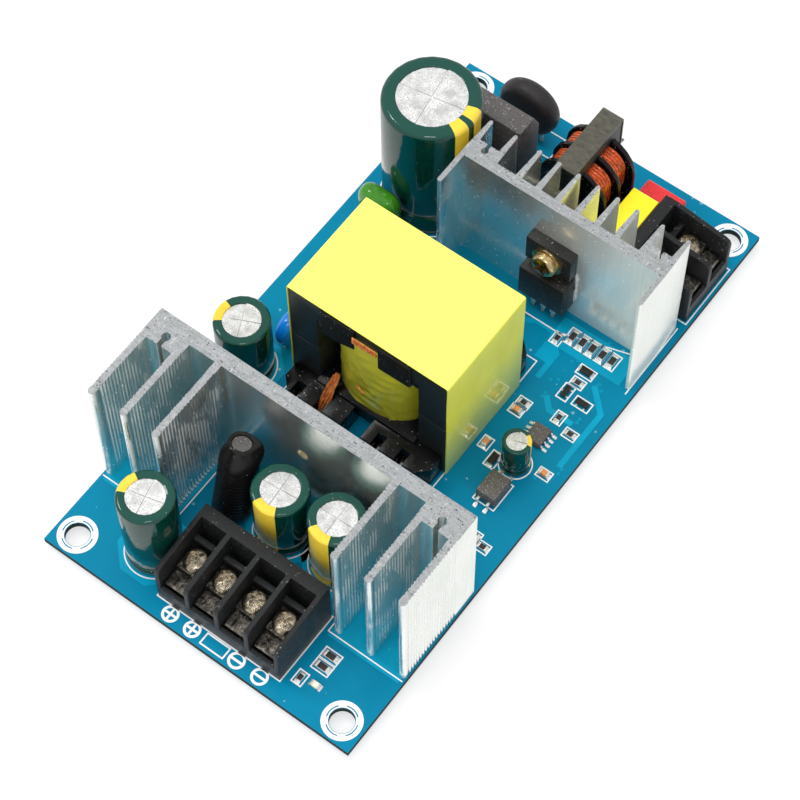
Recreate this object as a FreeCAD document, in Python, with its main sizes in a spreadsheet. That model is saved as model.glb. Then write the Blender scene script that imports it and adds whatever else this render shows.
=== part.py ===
import FreeCAD, Part
import math
import os
from types import SimpleNamespace

import Sketcher
from FreeCAD import Placement, Rotation, Vector

# Open frame power supply. X runs along the board from the output end (-X) to the mains input
# end (+X), Y across it and Z up. The origin is the middle of the footprint, level with the tips
# of the longest leads. Heights named here are above the board's upper face. Millimetres.

SIZES = {
    # circuit board
    "board_length": 150,
    "board_width": 79,
    "board_thickness": 1.6,
    "lead_tail": 1.8,
    "short_tail": 1.2,
    "lead_play": 0.1,
    "mount_hole_radius": 2.7,
    "mount_inset_x": 4.75,
    "mount_inset_y": 5.05,
    # screw terminal blocks
    "terminal_pitch": 7.62,
    "terminal_divider": 1.2,
    "terminal_ends": 1.0,
    "terminal_depth": 17.3,
    "terminal_height": 14.5,
    "terminal_back_wall": 2.9,
    "terminal_nose_height": 12.5,
    "terminal_nose": 1.5,
    "terminal_nose_bevel": 0.45,
    "terminal_sill": 4.6,
    "terminal_seat": 5.2,
    "terminal_lip_groove": 1.1,
    "terminal_lip_floor": 2.6,
    "terminal_rest_height": 9.4,
    "terminal_rest_depth": 1.3,
    "terminal_rest_gap": 1.85,
    "terminal_rest_floor": 4.0,
    "contact_width": 5.6,
    "contact_thickness": 0.8,
    "contact_front": 6.6,
    "contact_back": 2.3,
    "contact_lip": 2.2,
    "contact_leg_width": 1.0,
    "contact_leg_depth": 0.8,
    "contact_leg_back": 2.3,
    "clamp_width": 5.9,
    "clamp_depth": 5.9,
    "clamp_thickness": 0.9,
    "clamp_turndown": 0.5,
    "clamp_gap": 0.8,
    "terminal_screw_y": -0.65,
    "terminal_screw_radius": 1.7,
    "terminal_screw_play": 0.15,
    "terminal_head_radius": 2.8,
    "terminal_head_height": 2.0,
    "terminal_screw_depth": 2.8,
    "driver_slot_width": 0.8,
    "driver_slot_length": 3.6,
    "driver_slot_depth": 1.1,
    "output_terminal_x": -62.2,
    "output_terminal_y": -3.4,
    "input_terminal_x": 55.35,
    "input_terminal_y": -29.65,
    # output heatsink
    "output_sink_height": 35.7,
    "output_sink_front": -35.4,
    "output_sink_wall": 3.4,
    "output_sink_inset": 0.3,
    "output_fin_reach": 20.4,
    "output_fin_thickness": 1.7,
    "output_fin_gap": 2.05,
    "output_fin_tip_bevel": 0.34,
    "output_key_block": 3.7,
    "output_key_radius": 1.0,
    "output_key_depth": 1.35,
    "output_key_slot": 1.1,
    # primary heatsink
    "primary_sink_height": 35.2,
    "primary_sink_front": 34.3,
    "primary_sink_wall": 2.4,
    "primary_sink_length": 51.0,
    "primary_sink_y": -12.3,
    "primary_flange_reach": 8.3,
    "primary_flange_thickness": 1.1,
    "primary_fin_reach": 8.1,
    "primary_fin_root": 1.5,
    "primary_fin_tip": 0.9,
    "primary_fin_first": 2.45,
    "primary_fin_second": 7.35,
    "primary_fin_third": 12.25,
    "primary_fin_fourth": 18.5,
    "primary_fin_fifth": 24.85,
    "primary_key_block": 2.7,
    "primary_key_radius": 0.8,
    "primary_key_depth": 1.0,
    "primary_key_slot": 0.9,
    "key_pin_play": 0.02,
    "key_pin_grip": 6.0,
    # switching transistor and output rectifier, both screwed to a heatsink
    "package_width": 11.4,
    "package_height": 19.7,
    "package_thickness": 4.7,
    "package_flange": 2.7,
    "package_block": 10.3,
    "package_bevel": 0.8,
    "package_foot": 4.6,
    "package_hole_height": 15.4,
    "package_notch_width": 1.9,
    "package_notch_height": 1.7,
    "package_notch_floor": 0.9,
    "package_lead_pitch": 2.54,
    "package_lead_out": 2.7,
    "package_lead_thickness": 0.5,
    "package_lead_width": 0.8,
    "package_shoulder_width": 1.4,
    "package_shoulder_foot": 1.6,
    "transistor_y": -11.8,
    "rectifier_y": 1.57,
    "sink_screw_radius": 1.45,
    "sink_screw_play": 0.1,
    "sink_screw_head_radius": 3.0,
    "sink_screw_head_height": 2.1,
    "sink_washer_radius": 3.7,
    "sink_washer_thickness": 0.6,
    "rectifier_screw_grip": 2.6,
    "transistor_screw_grip": 3.2,
    # transformer
    "transformer_x": -0.3,
    "transformer_y": 1.57,
    "core_depth": 26.3,
    "core_length": 40.0,
    "core_foot": 0.4,
    "core_half_height": 18.1,
    "core_yoke": 6.1,
    "core_leg": 7.2,
    "core_post_radius": 6.5,
    "core_gap": 0.05,
    "core_tape_width": 26.6,
    "core_tape_thickness": 0.25,
    "core_tape_foot": 0.15,
    "bobbin_play": 0.15,
    "bobbin_wall": 1.0,
    "bobbin_flange": 1.2,
    "bobbin_ledge": 1.4,
    "rail_reach": 19.7,
    "rail_setback": 1.0,
    "rail_gap": 5.2,
    "rail_foot": 0.3,
    "rail_top": 6.9,
    "rail_chamfer": 2.5,
    "rail_slot_width": 2.2,
    "rail_slot_depth": 3.2,
    "rail_slot_floor": 2.0,
    "flange_notch_width": 6.4,
    "flange_notch_depth": 1.2,
    "winding_clearance": 0.3,
    "pin_pitch": 6.1,
    "left_pins_y": 11.8,
    "right_pins_y": -9.25,
    "pin_side": 0.8,
    "pin_inset": 1.6,
    "pin_stub": 1.2,
    "mould_play": 0.03,
    "lead_out_radius": 1.0,
    "lead_out_height": 21.0,
    "lead_out_knee": 14.0,
    "lead_out_lean": 2.4,
    "lead_out_bundle": 0.8,
    "lead_out_bundle_height": 4.2,
    # electrolytic capacitors
    "sleeve_thickness": 0.25,
    "can_shoulder": 0.4,
    "can_foot": 0.3,
    "can_lead_radius": 0.32,
    "bulk_can_x": 41.0,
    "bulk_can_y": 25.5,
    "bulk_can_radius": 10.9,
    "bulk_can_height": 37.5,
    "bulk_can_fold": 2.95,
    "bulk_lead_spacing": 10.0,
    "bulk_lead_radius": 0.6,
    "output_can_radius": 6.15,
    "output_can_lead_spacing": 5.0,
    "output_can_fold": 1.8,
    "left_can_x": -63.2,
    "left_can_y": 19.2,
    "left_can_height": 25.0,
    "middle_can_x": -43.9,
    "middle_can_y": 0.7,
    "middle_can_height": 19.2,
    "right_can_x": -42.9,
    "right_can_y": -13.0,
    "right_can_height": 21.0,
    "rear_can_x": -17.7,
    "rear_can_y": 31.3,
    "rear_can_height": 19.2,
    "supply_can_x": -2.8,
    "supply_can_y": 10.37,
    "supply_can_radius": 3.15,
    "supply_can_height": 10.5,
    "supply_can_fold": 0.8,
    "supply_can_lead_spacing": 2.5,
    # rod choke, leaning over between the output capacitors
    "rod_x": -46.9,
    "rod_y": 12.1,
    "rod_lean_angle": 15,
    "rod_foot": 2.0,
    "rod_core_radius": 2.1,
    "rod_length": 21.3,
    "rod_winding_radius": 3.9,
    "rod_winding_length": 17.0,
    "rod_sleeve_thickness": 0.45,
    "rod_sleeve_neck_radius": 3.1,
    "rod_lead_radius": 0.5,
    "rod_lead_spread": 5.2,
    "rod_lead_stagger": 0.7,
    # bridge rectifier
    "bridge_x": 56.1,
    "bridge_y": 21.6,
    "bridge_thickness": 7.4,
    "bridge_width": 22.8,
    "bridge_foot": 4.0,
    "bridge_top": 23.0,
    "bridge_bevel": 2.1,
    "bridge_corner": 3.0,
    "bridge_lead_pitch": 5.08,
    "bridge_lead_width": 1.1,
    "bridge_lead_thickness": 0.7,
    "bridge_shoulder_width": 2.0,
    "bridge_shoulder_foot": 2.0,
    # inrush thermistor
    "thermistor_x": 67.4,
    "thermistor_y": 17.7,
    "thermistor_radius": 7.5,
    "thermistor_thickness": 5.0,
    "thermistor_height": 10.2,
    "thermistor_rim": 1.4,
    "thermistor_lead_spacing": 7.5,
    "thermistor_lead_radius": 0.45,
    # common mode choke
    "choke_x": 57.8,
    "choke_y": -4.0,
    "choke_core_length": 17.4,
    "choke_core_width": 5.0,
    "choke_limb": 4.2,
    "choke_end_limb": 2.6,
    "choke_axis_height": 14.8,
    "choke_core_top": 26.6,
    "choke_clip_thickness": 0.4,
    "choke_clip_width": 5.3,
    "choke_clip_drop": 9.0,
    "choke_clip_hook": 1.2,
    "choke_flange_radius": 8.7,
    "choke_flange_thickness": 1.0,
    "choke_flange_pitch": 5.4,
    "choke_tube_wall": 0.8,
    "choke_winding_radius": 7.1,
    "choke_base_foot": 0.5,
    "choke_base_height": 5.4,
    "choke_pin_spread_x": 10.0,
    "choke_pin_spread_y": 12.0,
    "choke_pin_side": 0.8,
    # line filter capacitor and fuse
    "filter_box_x": 55.0,
    "filter_box_y": -17.4,
    "filter_box_length": 13.0,
    "filter_box_width": 6.6,
    "filter_box_height": 14.0,
    "filter_box_rib": 0.5,
    "filter_lead_spacing": 10.0,
    "filter_lead_radius": 0.35,
    "box_edge": 0.5,
    "fuse_x": 66.75,
    "fuse_y": -18.5,
    "fuse_thickness": 4.3,
    "fuse_length": 9.8,
    "fuse_height": 7.7,
    "fuse_lead_spacing": 5.08,
    "fuse_lead_radius": 0.3,
    # dipped film capacitor and safety capacitor
    "film_x": 27.5,
    "film_y": 29.5,
    "film_thickness": 4.5,
    "film_width": 10.0,
    "film_bottom": 2.4,
    "film_top": 12.5,
    "film_corner": 3.0,
    "film_rim": 1.3,
    "film_lead_spacing": 5.0,
    "film_lead_radius": 0.3,
    "safety_x": -6.9,
    "safety_y": 27.4,
    "safety_radius": 4.4,
    "safety_thickness": 3.5,
    "safety_rim": 1.1,
    "safety_bottom": 0.9,
    "safety_lead_spacing": 5.0,
    "safety_lead_radius": 0.3,
    # chips with gull leads
    "chip_lead_thickness": 0.25,
    "chip_lead_foot": 0.6,
    "optocoupler_x": -10.9,
    "optocoupler_y": 10.47,
    "optocoupler_length": 6.5,
    "optocoupler_width": 4.6,
    "optocoupler_height": 3.5,
    "optocoupler_reach": 1.5,
    "optocoupler_lead_width": 0.6,
    "optocoupler_pitch": 2.54,
    "controller_x": 5.3,
    "controller_y": 10.47,
    "controller_length": 4.9,
    "controller_width": 3.9,
    "controller_height": 1.7,
    "controller_reach": 1.05,
    "controller_lead_width": 0.42,
    "controller_pitch": 1.27,
    "chip_stand_off": 0.15,
    "chip_bevel": 0.25,
    # small surface parts
    "resistor_length": 3.0,
    "resistor_width": 1.5,
    "resistor_height": 0.55,
    "small_resistor_length": 2.0,
    "small_resistor_width": 1.25,
    "chip_capacitor_height": 1.1,
    "small_transistor_length": 2.9,
    "small_transistor_width": 1.4,
    "small_transistor_height": 1.0,
    "lamp_length": 2.0,
    "lamp_width": 1.3,
    "lamp_height": 0.8,
    "row_pitch": 2.57,
    "row_x": 29.6,
    "row_y": 2.52,
    "lamp_x": 7.6,
    "lamp_y": 7.17,
    "lamp_resistor_x": 11.6,
    "lamp_resistor_y": 5.87,
    "lamp_resistor_step": 2.8,
    "lamp_series_x": 7.1,
    "lamp_series_y": 3.67,
    "gate_resistor_x": 27.3,
    "gate_resistor_y": 0.03,
    "sense_resistor_x": 11.6,
    "sense_resistor_y": 11.47,
    "base_resistor_x": 20.9,
    "base_resistor_y": 9.87,
    "edge_resistor_x": 9.7,
    "edge_resistor_y": 15.67,
    "start_resistor_x": 10.1,
    "start_resistor_y": 3.37,
    "outer_loop_resistor_x": -22.6,
    "outer_loop_resistor_y": 16.17,
    "inner_loop_resistor_x": -21.4,
    "inner_loop_resistor_y": 13.17,
    "start_capacitor_x": 7.8,
    "start_capacitor_y": 3.17,
    "edge_capacitor_x": -1.2,
    "edge_capacitor_y": 16.67,
    "near_capacitor_x": -2.4,
    "near_capacitor_y": 2.47,
    "upper_transistor_x": 17.6,
    "upper_transistor_y": 9.07,
    "lower_transistor_x": 17.2,
    "lower_transistor_y": 13.57,
    "clamp_diode_x": 24.1,
    "clamp_diode_y": 9.87,
    "supply_diode_x": -4.75,
    "supply_diode_y": 6.07,
}


class Size:
    """A length with the formula over the sheet's cells that gives it."""

    def __init__(self, formula, value):
        self.formula = formula
        self.value = value

    def join(self, sign, other, value):
        return Size("(%s %s %s)" % (self.formula, sign, other.formula), value)

    def __add__(self, other):
        other = size(other)
        return self.join("+", other, self.value + other.value)

    def __sub__(self, other):
        other = size(other)
        return self.join("-", other, self.value - other.value)

    def __mul__(self, other):
        other = size(other)
        return self.join("*", other, self.value * other.value)

    def __truediv__(self, other):
        other = size(other)
        return self.join("/", other, self.value / other.value)

    def __neg__(self):
        return size(0) - self

    def __radd__(self, other):
        return size(other) + self

    def __rsub__(self, other):
        return size(other) - self

    def __rmul__(self, other):
        return size(other) * self


def size(number):
    if isinstance(number, Size):
        return number
    return Size("%.6g" % number, float(number))


doc = FreeCAD.newDocument("power_supply")
sheet = doc.addObject("Spreadsheet::Sheet", "dims")
d = SimpleNamespace()
for row, (alias, number) in enumerate(SIZES.items(), 1):
    sheet.set("A%d" % row, alias)
    sheet.set("B%d" % row, str(number))
    sheet.setAlias("B%d" % row, alias)
    setattr(d, alias, Size("dims." + alias, float(number)))
doc.recompute()

board_top = d.lead_tail + d.board_thickness
# The control parts stand in front of this end of the transformer and are measured from it
core_end = d.transformer_y - d.core_length / 2
nodes = []
drills = []

# Round things that are thin or out of sight have this many flats, so that dozens of them stay light
WIRE_SIDES = 6
SHANK_SIDES = 8
POST_SIDES = 16
CAN_SIDES = 24


# Helpers for placing and shaping

def bind(item, prop, length):
    item.setExpression(prop, size(length).formula)


def place(item, at, turn=0, axis=(0, 0, 1)):
    item.Placement = Placement(Vector(), Rotation(Vector(*axis), turn))
    for letter, distance in zip("xyz", at):
        bind(item, "Placement.Base." + letter, distance)
    return item


def node(item, label):
    item.Label = label
    nodes.append(item)
    return item


def box(name, low, sides):
    item = doc.addObject("Part::Box", name)
    for prop, side in zip(("Length", "Width", "Height"), sides):
        bind(item, prop, side)
    return place(item, low)


def group(label, pieces):
    item = doc.addObject("Part::Compound", label)
    item.Links = pieces
    return node(item, label)


def prism(name, base, radius, height, sides):
    item = doc.addObject("Part::Prism", name)
    item.Polygon = sides
    bind(item, "Circumradius", radius)
    bind(item, "Height", height)
    return place(item, base)


def wire_lead(name, x, y, height, radius, tail):
    """A wire that stands in its hole and ends at a height above the board."""
    drill_below = d.lead_tail - 1
    drills.append(prism("drill", (x, y, drill_below), radius + d.lead_play,
                        d.board_thickness + 2, WIRE_SIDES))
    low = d.lead_tail - tail
    return prism(name, (x, y, low), radius, board_top + height - low, WIRE_SIDES)


def drill_slot(x, y, wide_x, wide_y):
    """A hole for a flat or square lead."""
    half_x = wide_x / 2 + d.lead_play
    half_y = wide_y / 2 + d.lead_play
    drills.append(box("drill", (x - half_x, y - half_y, d.lead_tail - 1),
                      (half_x * 2, half_y * 2, d.board_thickness + 2)))


def blade_lead(name, x, y, wide_x, wide_y, height, tail):
    """A flat or square lead that ends at a height above the board."""
    drill_slot(x, y, wide_x, wide_y)
    low = d.lead_tail - tail
    corner = (x - wide_x / 2, y - wide_y / 2, low)
    return box(name, corner, (wide_x, wide_y, board_top + height - low))


class Ring:
    """A full circle as a loop of its own."""

    def __init__(self, x, y, radius):
        self.centre = (size(x), size(y))
        self.radius = size(radius)


def rectangle(low_x, low_y, high_x, high_y):
    return [(low_x, low_y), (high_x, low_y), (high_x, high_y), (low_x, high_y)]


def flats(x, y, radius, sides):
    """A regular outline whose corners lie on a circle, as a prism's do."""
    angles = [math.tau * side / sides for side in range(sides)]
    return [(x + radius * math.cos(a), y + radius * math.sin(a)) for a in angles]


def at_point(pair):
    return Vector(pair[0].value, pair[1].value, 0)


def pin_point(sketch, geometry, position, pair):
    for kind, distance in zip(("DistanceX", "DistanceY"), pair):
        index = sketch.addConstraint(
            Sketcher.Constraint(kind, -1, 1, geometry, position, distance.value))
        sketch.setExpression("Constraints[%d]" % index, distance.formula)


def draw_ring(sketch, ring):
    shape = Part.Circle(at_point(ring.centre), Vector(0, 0, 1), ring.radius.value)
    geometry = sketch.addGeometry(shape, False)
    pin_point(sketch, geometry, 3, ring.centre)
    index = sketch.addConstraint(Sketcher.Constraint("Radius", geometry, ring.radius.value))
    sketch.setExpression("Constraints[%d]" % index, ring.radius.formula)


def draw_path(sketch, points):
    """An open run of straight lines."""
    points = [(size(x), size(y)) for x, y in points]
    for index in range(len(points) - 1):
        line = Part.LineSegment(at_point(points[index]), at_point(points[index + 1]))
        geometry = sketch.addGeometry(line, False)
        if index:
            sketch.addConstraint(
                Sketcher.Constraint("Coincident", geometry - 1, 2, geometry, 1))
        else:
            pin_point(sketch, geometry, 1, points[0])
        pin_point(sketch, geometry, 2, points[index + 1])


def draw_loop(sketch, loop):
    points = [(size(x), size(y)) for x, y in loop]
    sides = []
    for index, start in enumerate(points):
        line = Part.LineSegment(at_point(start), at_point(points[(index + 1) % len(points)]))
        sides.append(sketch.addGeometry(line, False))
    for index, geometry in enumerate(sides):
        after = (index + 1) % len(sides)
        sketch.addConstraint(Sketcher.Constraint("Coincident", geometry, 2, sides[after], 1))
        pin_point(sketch, geometry, 2, points[after])


def draw(body, plane, loops, level):
    """A sketch on one of the body's planes, moved along that plane's normal."""
    sketch = body.newObject("Sketcher::SketchObject", body.Name + "_outline")
    role = [f for f in body.Origin.OriginFeatures if f.Role == plane + "_Plane"]
    sketch.AttachmentSupport = [(role[0], "")]
    sketch.MapMode = "FlatFace"
    bind(sketch, "AttachmentOffset.Base.z", level)
    for loop in loops:
        if isinstance(loop, Ring):
            draw_ring(sketch, loop)
        else:
            draw_loop(sketch, loop)
    return sketch


def new_body(label, at=(0, 0, 0), turn=0, axis=(0, 0, 1)):
    body = doc.addObject("PartDesign::Body", label)
    body.AllowCompound = True
    return place(body, at, turn, axis)


def pad(body, plane, loops, start, depth):
    """Adds material from a start level towards +X, +Y or +Z."""
    level = -(start + size(depth)) if plane == "XZ" else start
    feature = body.newObject("PartDesign::Pad", body.Name + "_pad")
    feature.Profile = draw(body, plane, loops, level)
    bind(feature, "Length", depth)
    body.Tip = feature
    return body


def pocket(body, plane, loops, start, depth):
    """Removes material from a start level towards +X, +Y or +Z."""
    level = -size(start) if plane == "XZ" else start + size(depth)
    feature = body.newObject("PartDesign::Pocket", body.Name + "_pocket")
    feature.Profile = draw(body, plane, loops, level)
    bind(feature, "Length", depth)
    body.Tip = feature
    return body


def revolve(body, loop):
    """Turns a loop of (radius, height) points about the body's own vertical axis."""
    feature = body.newObject("PartDesign::Revolution", body.Name + "_turning")
    profile = draw(body, "XZ", [loop], 0)
    feature.Profile = profile
    feature.ReferenceAxis = (profile, ["V_Axis"])
    feature.Angle = 360
    body.Tip = feature
    return body


# Screw terminal blocks. Their own frame has X along the row of ways, wires entering from -Y.

def way_offsets(ways):
    return [d.terminal_pitch * (way - (ways - 1) / 2) for way in range(ways)]


def terminal_body(label, ways, at, turn):
    front = -d.terminal_depth / 2
    back = d.terminal_depth / 2
    back_face = back - d.terminal_back_wall
    length = d.terminal_pitch * ways + d.terminal_ends
    nose = d.terminal_nose
    bevel = d.terminal_nose_bevel
    nose_top = d.terminal_nose_height
    body = new_body(label, at, turn)
    side = [(front, 0), (back, 0), (back, d.terminal_height), (back_face, d.terminal_height),
            (front + nose, nose_top), (front + bevel, nose_top - bevel),
            (front, nose_top - nose)]
    pad(body, "YZ", [side], -length / 2, length)
    rest_back = back_face - d.terminal_rest_gap
    rest_front = rest_back - d.terminal_rest_depth
    lip_back = -d.contact_front + d.mould_play
    lip_front = lip_back - d.terminal_lip_groove
    above = d.terminal_height + 1
    well = [(front - 1, d.terminal_sill), (lip_front, d.terminal_sill),
            (lip_front, d.terminal_lip_floor), (lip_back, d.terminal_lip_floor),
            (lip_back, d.terminal_seat), (rest_front, d.terminal_seat),
            (rest_front, d.terminal_rest_height), (rest_back, d.terminal_rest_height),
            (rest_back, d.terminal_rest_floor), (back_face, d.terminal_rest_floor),
            (back_face, above), (front - 1, above)]
    well_width = d.terminal_pitch - d.terminal_divider
    for offset in way_offsets(ways):
        pocket(body, "YZ", [well], offset - well_width / 2, well_width)
    well_half = d.terminal_screw_radius + d.terminal_screw_play
    screws = [rectangle(offset - well_half, d.terminal_screw_y - well_half,
                        offset + well_half, d.terminal_screw_y + well_half)
              for offset in way_offsets(ways)]
    pocket(body, "XY", screws, d.terminal_screw_depth - 1, d.terminal_height)
    half_x = d.contact_leg_width / 2 + d.mould_play
    low_y = d.contact_leg_back - d.contact_leg_depth - d.mould_play
    high_y = d.contact_leg_back + d.mould_play
    legs = [rectangle(offset - half_x, low_y, offset + half_x, high_y)
            for offset in way_offsets(ways)]
    pocket(body, "XY", legs, -1, d.terminal_height)
    return node(body, label)


def terminal_screw_hole(offset):
    return flats(offset, d.terminal_screw_y, d.terminal_screw_radius + d.lead_play, SHANK_SIDES)


def terminal_contact(name, offset, at, turn):
    """A bent brass strip: a tray under the clamp, a lip in front and a leg through the board."""
    seat = d.terminal_seat
    top = seat + d.contact_thickness
    tip = -board_top
    lip = -d.contact_front - d.contact_thickness
    body = new_body(name, at, turn)
    tray = [(lip, seat - d.contact_lip), (-d.contact_front, seat - d.contact_lip),
            (-d.contact_front, seat), (d.contact_back, seat), (d.contact_back, top),
            (lip + d.contact_thickness / 2, top), (lip, top - d.contact_thickness / 2)]
    pad(body, "YZ", [tray], offset - d.contact_width / 2, d.contact_width)
    leg = rectangle(d.contact_leg_back - d.contact_leg_depth, tip, d.contact_leg_back, seat)
    pad(body, "YZ", [leg], offset - d.contact_leg_width / 2, d.contact_leg_width)
    pocket(body, "XY", [terminal_screw_hole(offset)], seat - 1, d.contact_thickness + 2)
    return body


def terminal_clamp(name, offset, at, turn):
    """A square washer with turned-down sides that presses the wire on the tray."""
    low = d.terminal_seat + d.contact_thickness + d.clamp_gap
    top = low + d.clamp_thickness
    half = d.clamp_width / 2
    inner = half - d.clamp_thickness
    foot = low - d.clamp_turndown
    channel = [(offset - half, foot), (offset - inner, foot), (offset - inner, low),
               (offset + inner, low), (offset + inner, foot), (offset + half, foot),
               (offset + half, top), (offset - half, top)]
    body = new_body(name, at, turn)
    pad(body, "XZ", [channel], d.terminal_screw_y - d.clamp_depth / 2, d.clamp_depth)
    pocket(body, "XY", [terminal_screw_hole(offset)], low - 1, d.clamp_thickness + 2)
    return body


def cross_recess(body, top):
    half_length = d.driver_slot_length / 2
    half_width = d.driver_slot_width / 2
    cross = [(half_width, half_width), (half_width, half_length), (-half_width, half_length),
             (-half_width, half_width), (-half_length, half_width), (-half_length, -half_width),
             (-half_width, -half_width), (-half_width, -half_length), (half_width, -half_length),
             (half_width, -half_width), (half_length, -half_width), (half_length, half_width)]
    pocket(body, "XY", [cross], top - d.driver_slot_depth, d.driver_slot_depth + 1)


def terminal_screw(name, at):
    """A pan head screw with a cross recess, its thread left plain."""
    clamp_top = d.terminal_seat + d.contact_thickness + d.clamp_gap + d.clamp_thickness
    body = new_body(name, at)
    shank = flats(0, 0, d.terminal_screw_radius, SHANK_SIDES)
    pad(body, "XY", [shank], d.terminal_screw_depth, clamp_top - d.terminal_screw_depth)
    pad(body, "XY", [Ring(0, 0, d.terminal_head_radius)], clamp_top, d.terminal_head_height)
    cross_recess(body, clamp_top + d.terminal_head_height)
    return body


def make_terminals():
    output_at = (d.output_terminal_x, d.output_terminal_y, board_top)
    input_at = (d.input_terminal_x, d.input_terminal_y, board_top)
    output_ways, input_ways = 4, 2
    terminal_body("output_terminal_body", output_ways, output_at, -90)
    terminal_body("input_terminal_body", input_ways, input_at, 0)
    contacts, clamps, screws = [], [], []
    leg_y = d.contact_leg_back - d.contact_leg_depth / 2
    for offset in way_offsets(output_ways):
        contacts.append(terminal_contact("output_contact", offset, output_at, -90))
        clamps.append(terminal_clamp("output_clamp", offset, output_at, -90))
        screw_at = (output_at[0] + d.terminal_screw_y, output_at[1] - offset, board_top)
        screws.append(terminal_screw("output_screw", screw_at))
        drill_slot(output_at[0] + leg_y, output_at[1] - offset,
                   d.contact_leg_depth, d.contact_leg_width)
    for offset in way_offsets(input_ways):
        contacts.append(terminal_contact("input_contact", offset, input_at, 0))
        clamps.append(terminal_clamp("input_clamp", offset, input_at, 0))
        screw_at = (input_at[0] + offset, input_at[1] + d.terminal_screw_y, board_top)
        screws.append(terminal_screw("input_screw", screw_at))
        drill_slot(input_at[0] + offset, input_at[1] + leg_y,
                   d.contact_leg_width, d.contact_leg_depth)
    group("terminal_contacts", contacts)
    group("terminal_clamps", clamps)
    group("terminal_screws", screws)


# Heatsinks: extrusions cut to length, standing on end

def key_slot(centre_x, centre_y, slot_width, face_x):
    low, high = (centre_x, face_x) if face_x.value > centre_x.value else (face_x, centre_x)
    return rectangle(low, centre_y - slot_width / 2, high, centre_y + slot_width / 2)


def make_output_heatsink():
    front = d.output_sink_front
    half = d.board_width / 2 - d.output_sink_inset
    tip = front - d.output_fin_reach
    half_fin = d.output_fin_thickness / 2
    # the inner fins stand clear of the capacitors in the row between them
    outer = half - half_fin
    inner = d.output_can_radius - d.right_can_y + d.output_fin_gap + half_fin
    pitch = (outer - inner) / 2
    bevel = d.output_fin_tip_bevel
    body = new_body("output_heatsink", (0, 0, board_top))
    wall = rectangle(front, -half, front + d.output_sink_wall, half)
    pad(body, "XY", [wall], 0, d.output_sink_height)
    inside = front + d.output_sink_wall / 2
    fins, keys, slots, holes = [], [], [], []
    for side in (-1, 1):
        for step in range(3):
            middle = (outer - pitch * step) * side
            low, high = middle - half_fin, middle + half_fin
            fins.append([(inside, high), (tip + bevel, high), (tip, high - bevel),
                         (tip, low + bevel), (tip + bevel, low), (inside, low)])
        near = (outer - pitch) * side
        far = outer * side
        block_front = front - d.output_key_block
        keys.append(rectangle(block_front, min_of(near, far), inside, max_of(near, far)))
        key_x = front - d.output_key_depth
        key_y = (outer - pitch / 2) * side
        slots.append(key_slot(key_x, key_y, d.output_key_slot, block_front - 1))
        holes.append((key_x, key_y))
    pad(body, "XY", fins, 0, d.output_sink_height)
    pad(body, "XY", keys, 0, d.output_sink_height)
    rings = [Ring(x, y, d.output_key_radius) for x, y in holes]
    pocket(body, "XY", rings, -1, d.output_sink_height + 2)
    pocket(body, "XY", slots, -1, d.output_sink_height + 2)
    screw_height = d.package_foot + d.package_hole_height
    hole = Ring(d.rectifier_y, screw_height, d.sink_screw_radius + d.key_pin_play)
    pocket(body, "YZ", [hole], front - 1, d.output_sink_wall + 2)
    node(body, "output_heatsink")
    return holes


def make_primary_heatsink():
    face = d.primary_sink_front
    back = face + d.primary_sink_wall
    middle = d.primary_sink_y
    half = d.primary_sink_length / 2
    body = new_body("primary_heatsink", (0, 0, board_top))
    wall = rectangle(face, middle - half, back, middle + half)
    reach = face - d.primary_flange_reach
    thick = d.primary_flange_thickness
    inside = face + d.primary_sink_wall / 2
    flanges = [rectangle(reach, middle - half, inside, middle - half + thick),
               rectangle(reach, middle + half - thick, inside, middle + half)]
    tip = back + d.primary_fin_reach
    tip_flat = d.primary_fin_tip / 2
    root = d.primary_fin_root / 2
    places = (d.primary_fin_first, d.primary_fin_second, d.primary_fin_third,
              d.primary_fin_fourth, d.primary_fin_fifth)
    fins, keys, slots, holes = [], [], [], []
    for side in (-1, 1):
        for place_y in places:
            fin = middle + place_y * side
            fins.append([(inside, fin - root), (tip, fin - tip_flat), (tip, fin + tip_flat),
                         (inside, fin + root)])
        near = middle + d.primary_fin_fourth * side
        far = middle + d.primary_fin_fifth * side
        block_back = back + d.primary_key_block
        keys.append(rectangle(inside, min_of(near, far), block_back, max_of(near, far)))
        key_x = back + d.primary_key_depth
        key_y = middle + (d.primary_fin_fourth + d.primary_fin_fifth) / 2 * side
        slots.append(key_slot(key_x, key_y, d.primary_key_slot, block_back + 1))
        holes.append((key_x, key_y))
    pad(body, "XY", [wall], 0, d.primary_sink_height)
    pad(body, "XY", flanges, 0, d.primary_sink_height)
    pad(body, "XY", fins, 0, d.primary_sink_height)
    pad(body, "XY", keys, 0, d.primary_sink_height)
    rings = [Ring(x, y, d.primary_key_radius) for x, y in holes]
    pocket(body, "XY", rings, -1, d.primary_sink_height + 2)
    pocket(body, "XY", slots, -1, d.primary_sink_height + 2)
    screw_height = d.package_foot + d.package_hole_height
    hole = Ring(d.transistor_y, screw_height, d.sink_screw_radius + d.key_pin_play)
    pocket(body, "YZ", [hole], face - 1, d.primary_sink_wall + 2)
    node(body, "primary_heatsink")
    return holes


def min_of(one, other):
    return one if one.value < other.value else other


def max_of(one, other):
    return other if one.value < other.value else one


def make_heatsink_pins(output_holes, primary_holes):
    pins = []
    for x, y in output_holes:
        pins.append(wire_lead("output_key_pin", x, y, d.key_pin_grip,
                              d.output_key_radius - d.key_pin_play, d.lead_tail))
    for x, y in primary_holes:
        pins.append(wire_lead("primary_key_pin", x, y, d.key_pin_grip,
                              d.primary_key_radius - d.key_pin_play, d.lead_tail))
    group("heatsink_pins", pins)


# Moulded packages on the heatsinks. Their own frame has the mounting face at X = 0.

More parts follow.
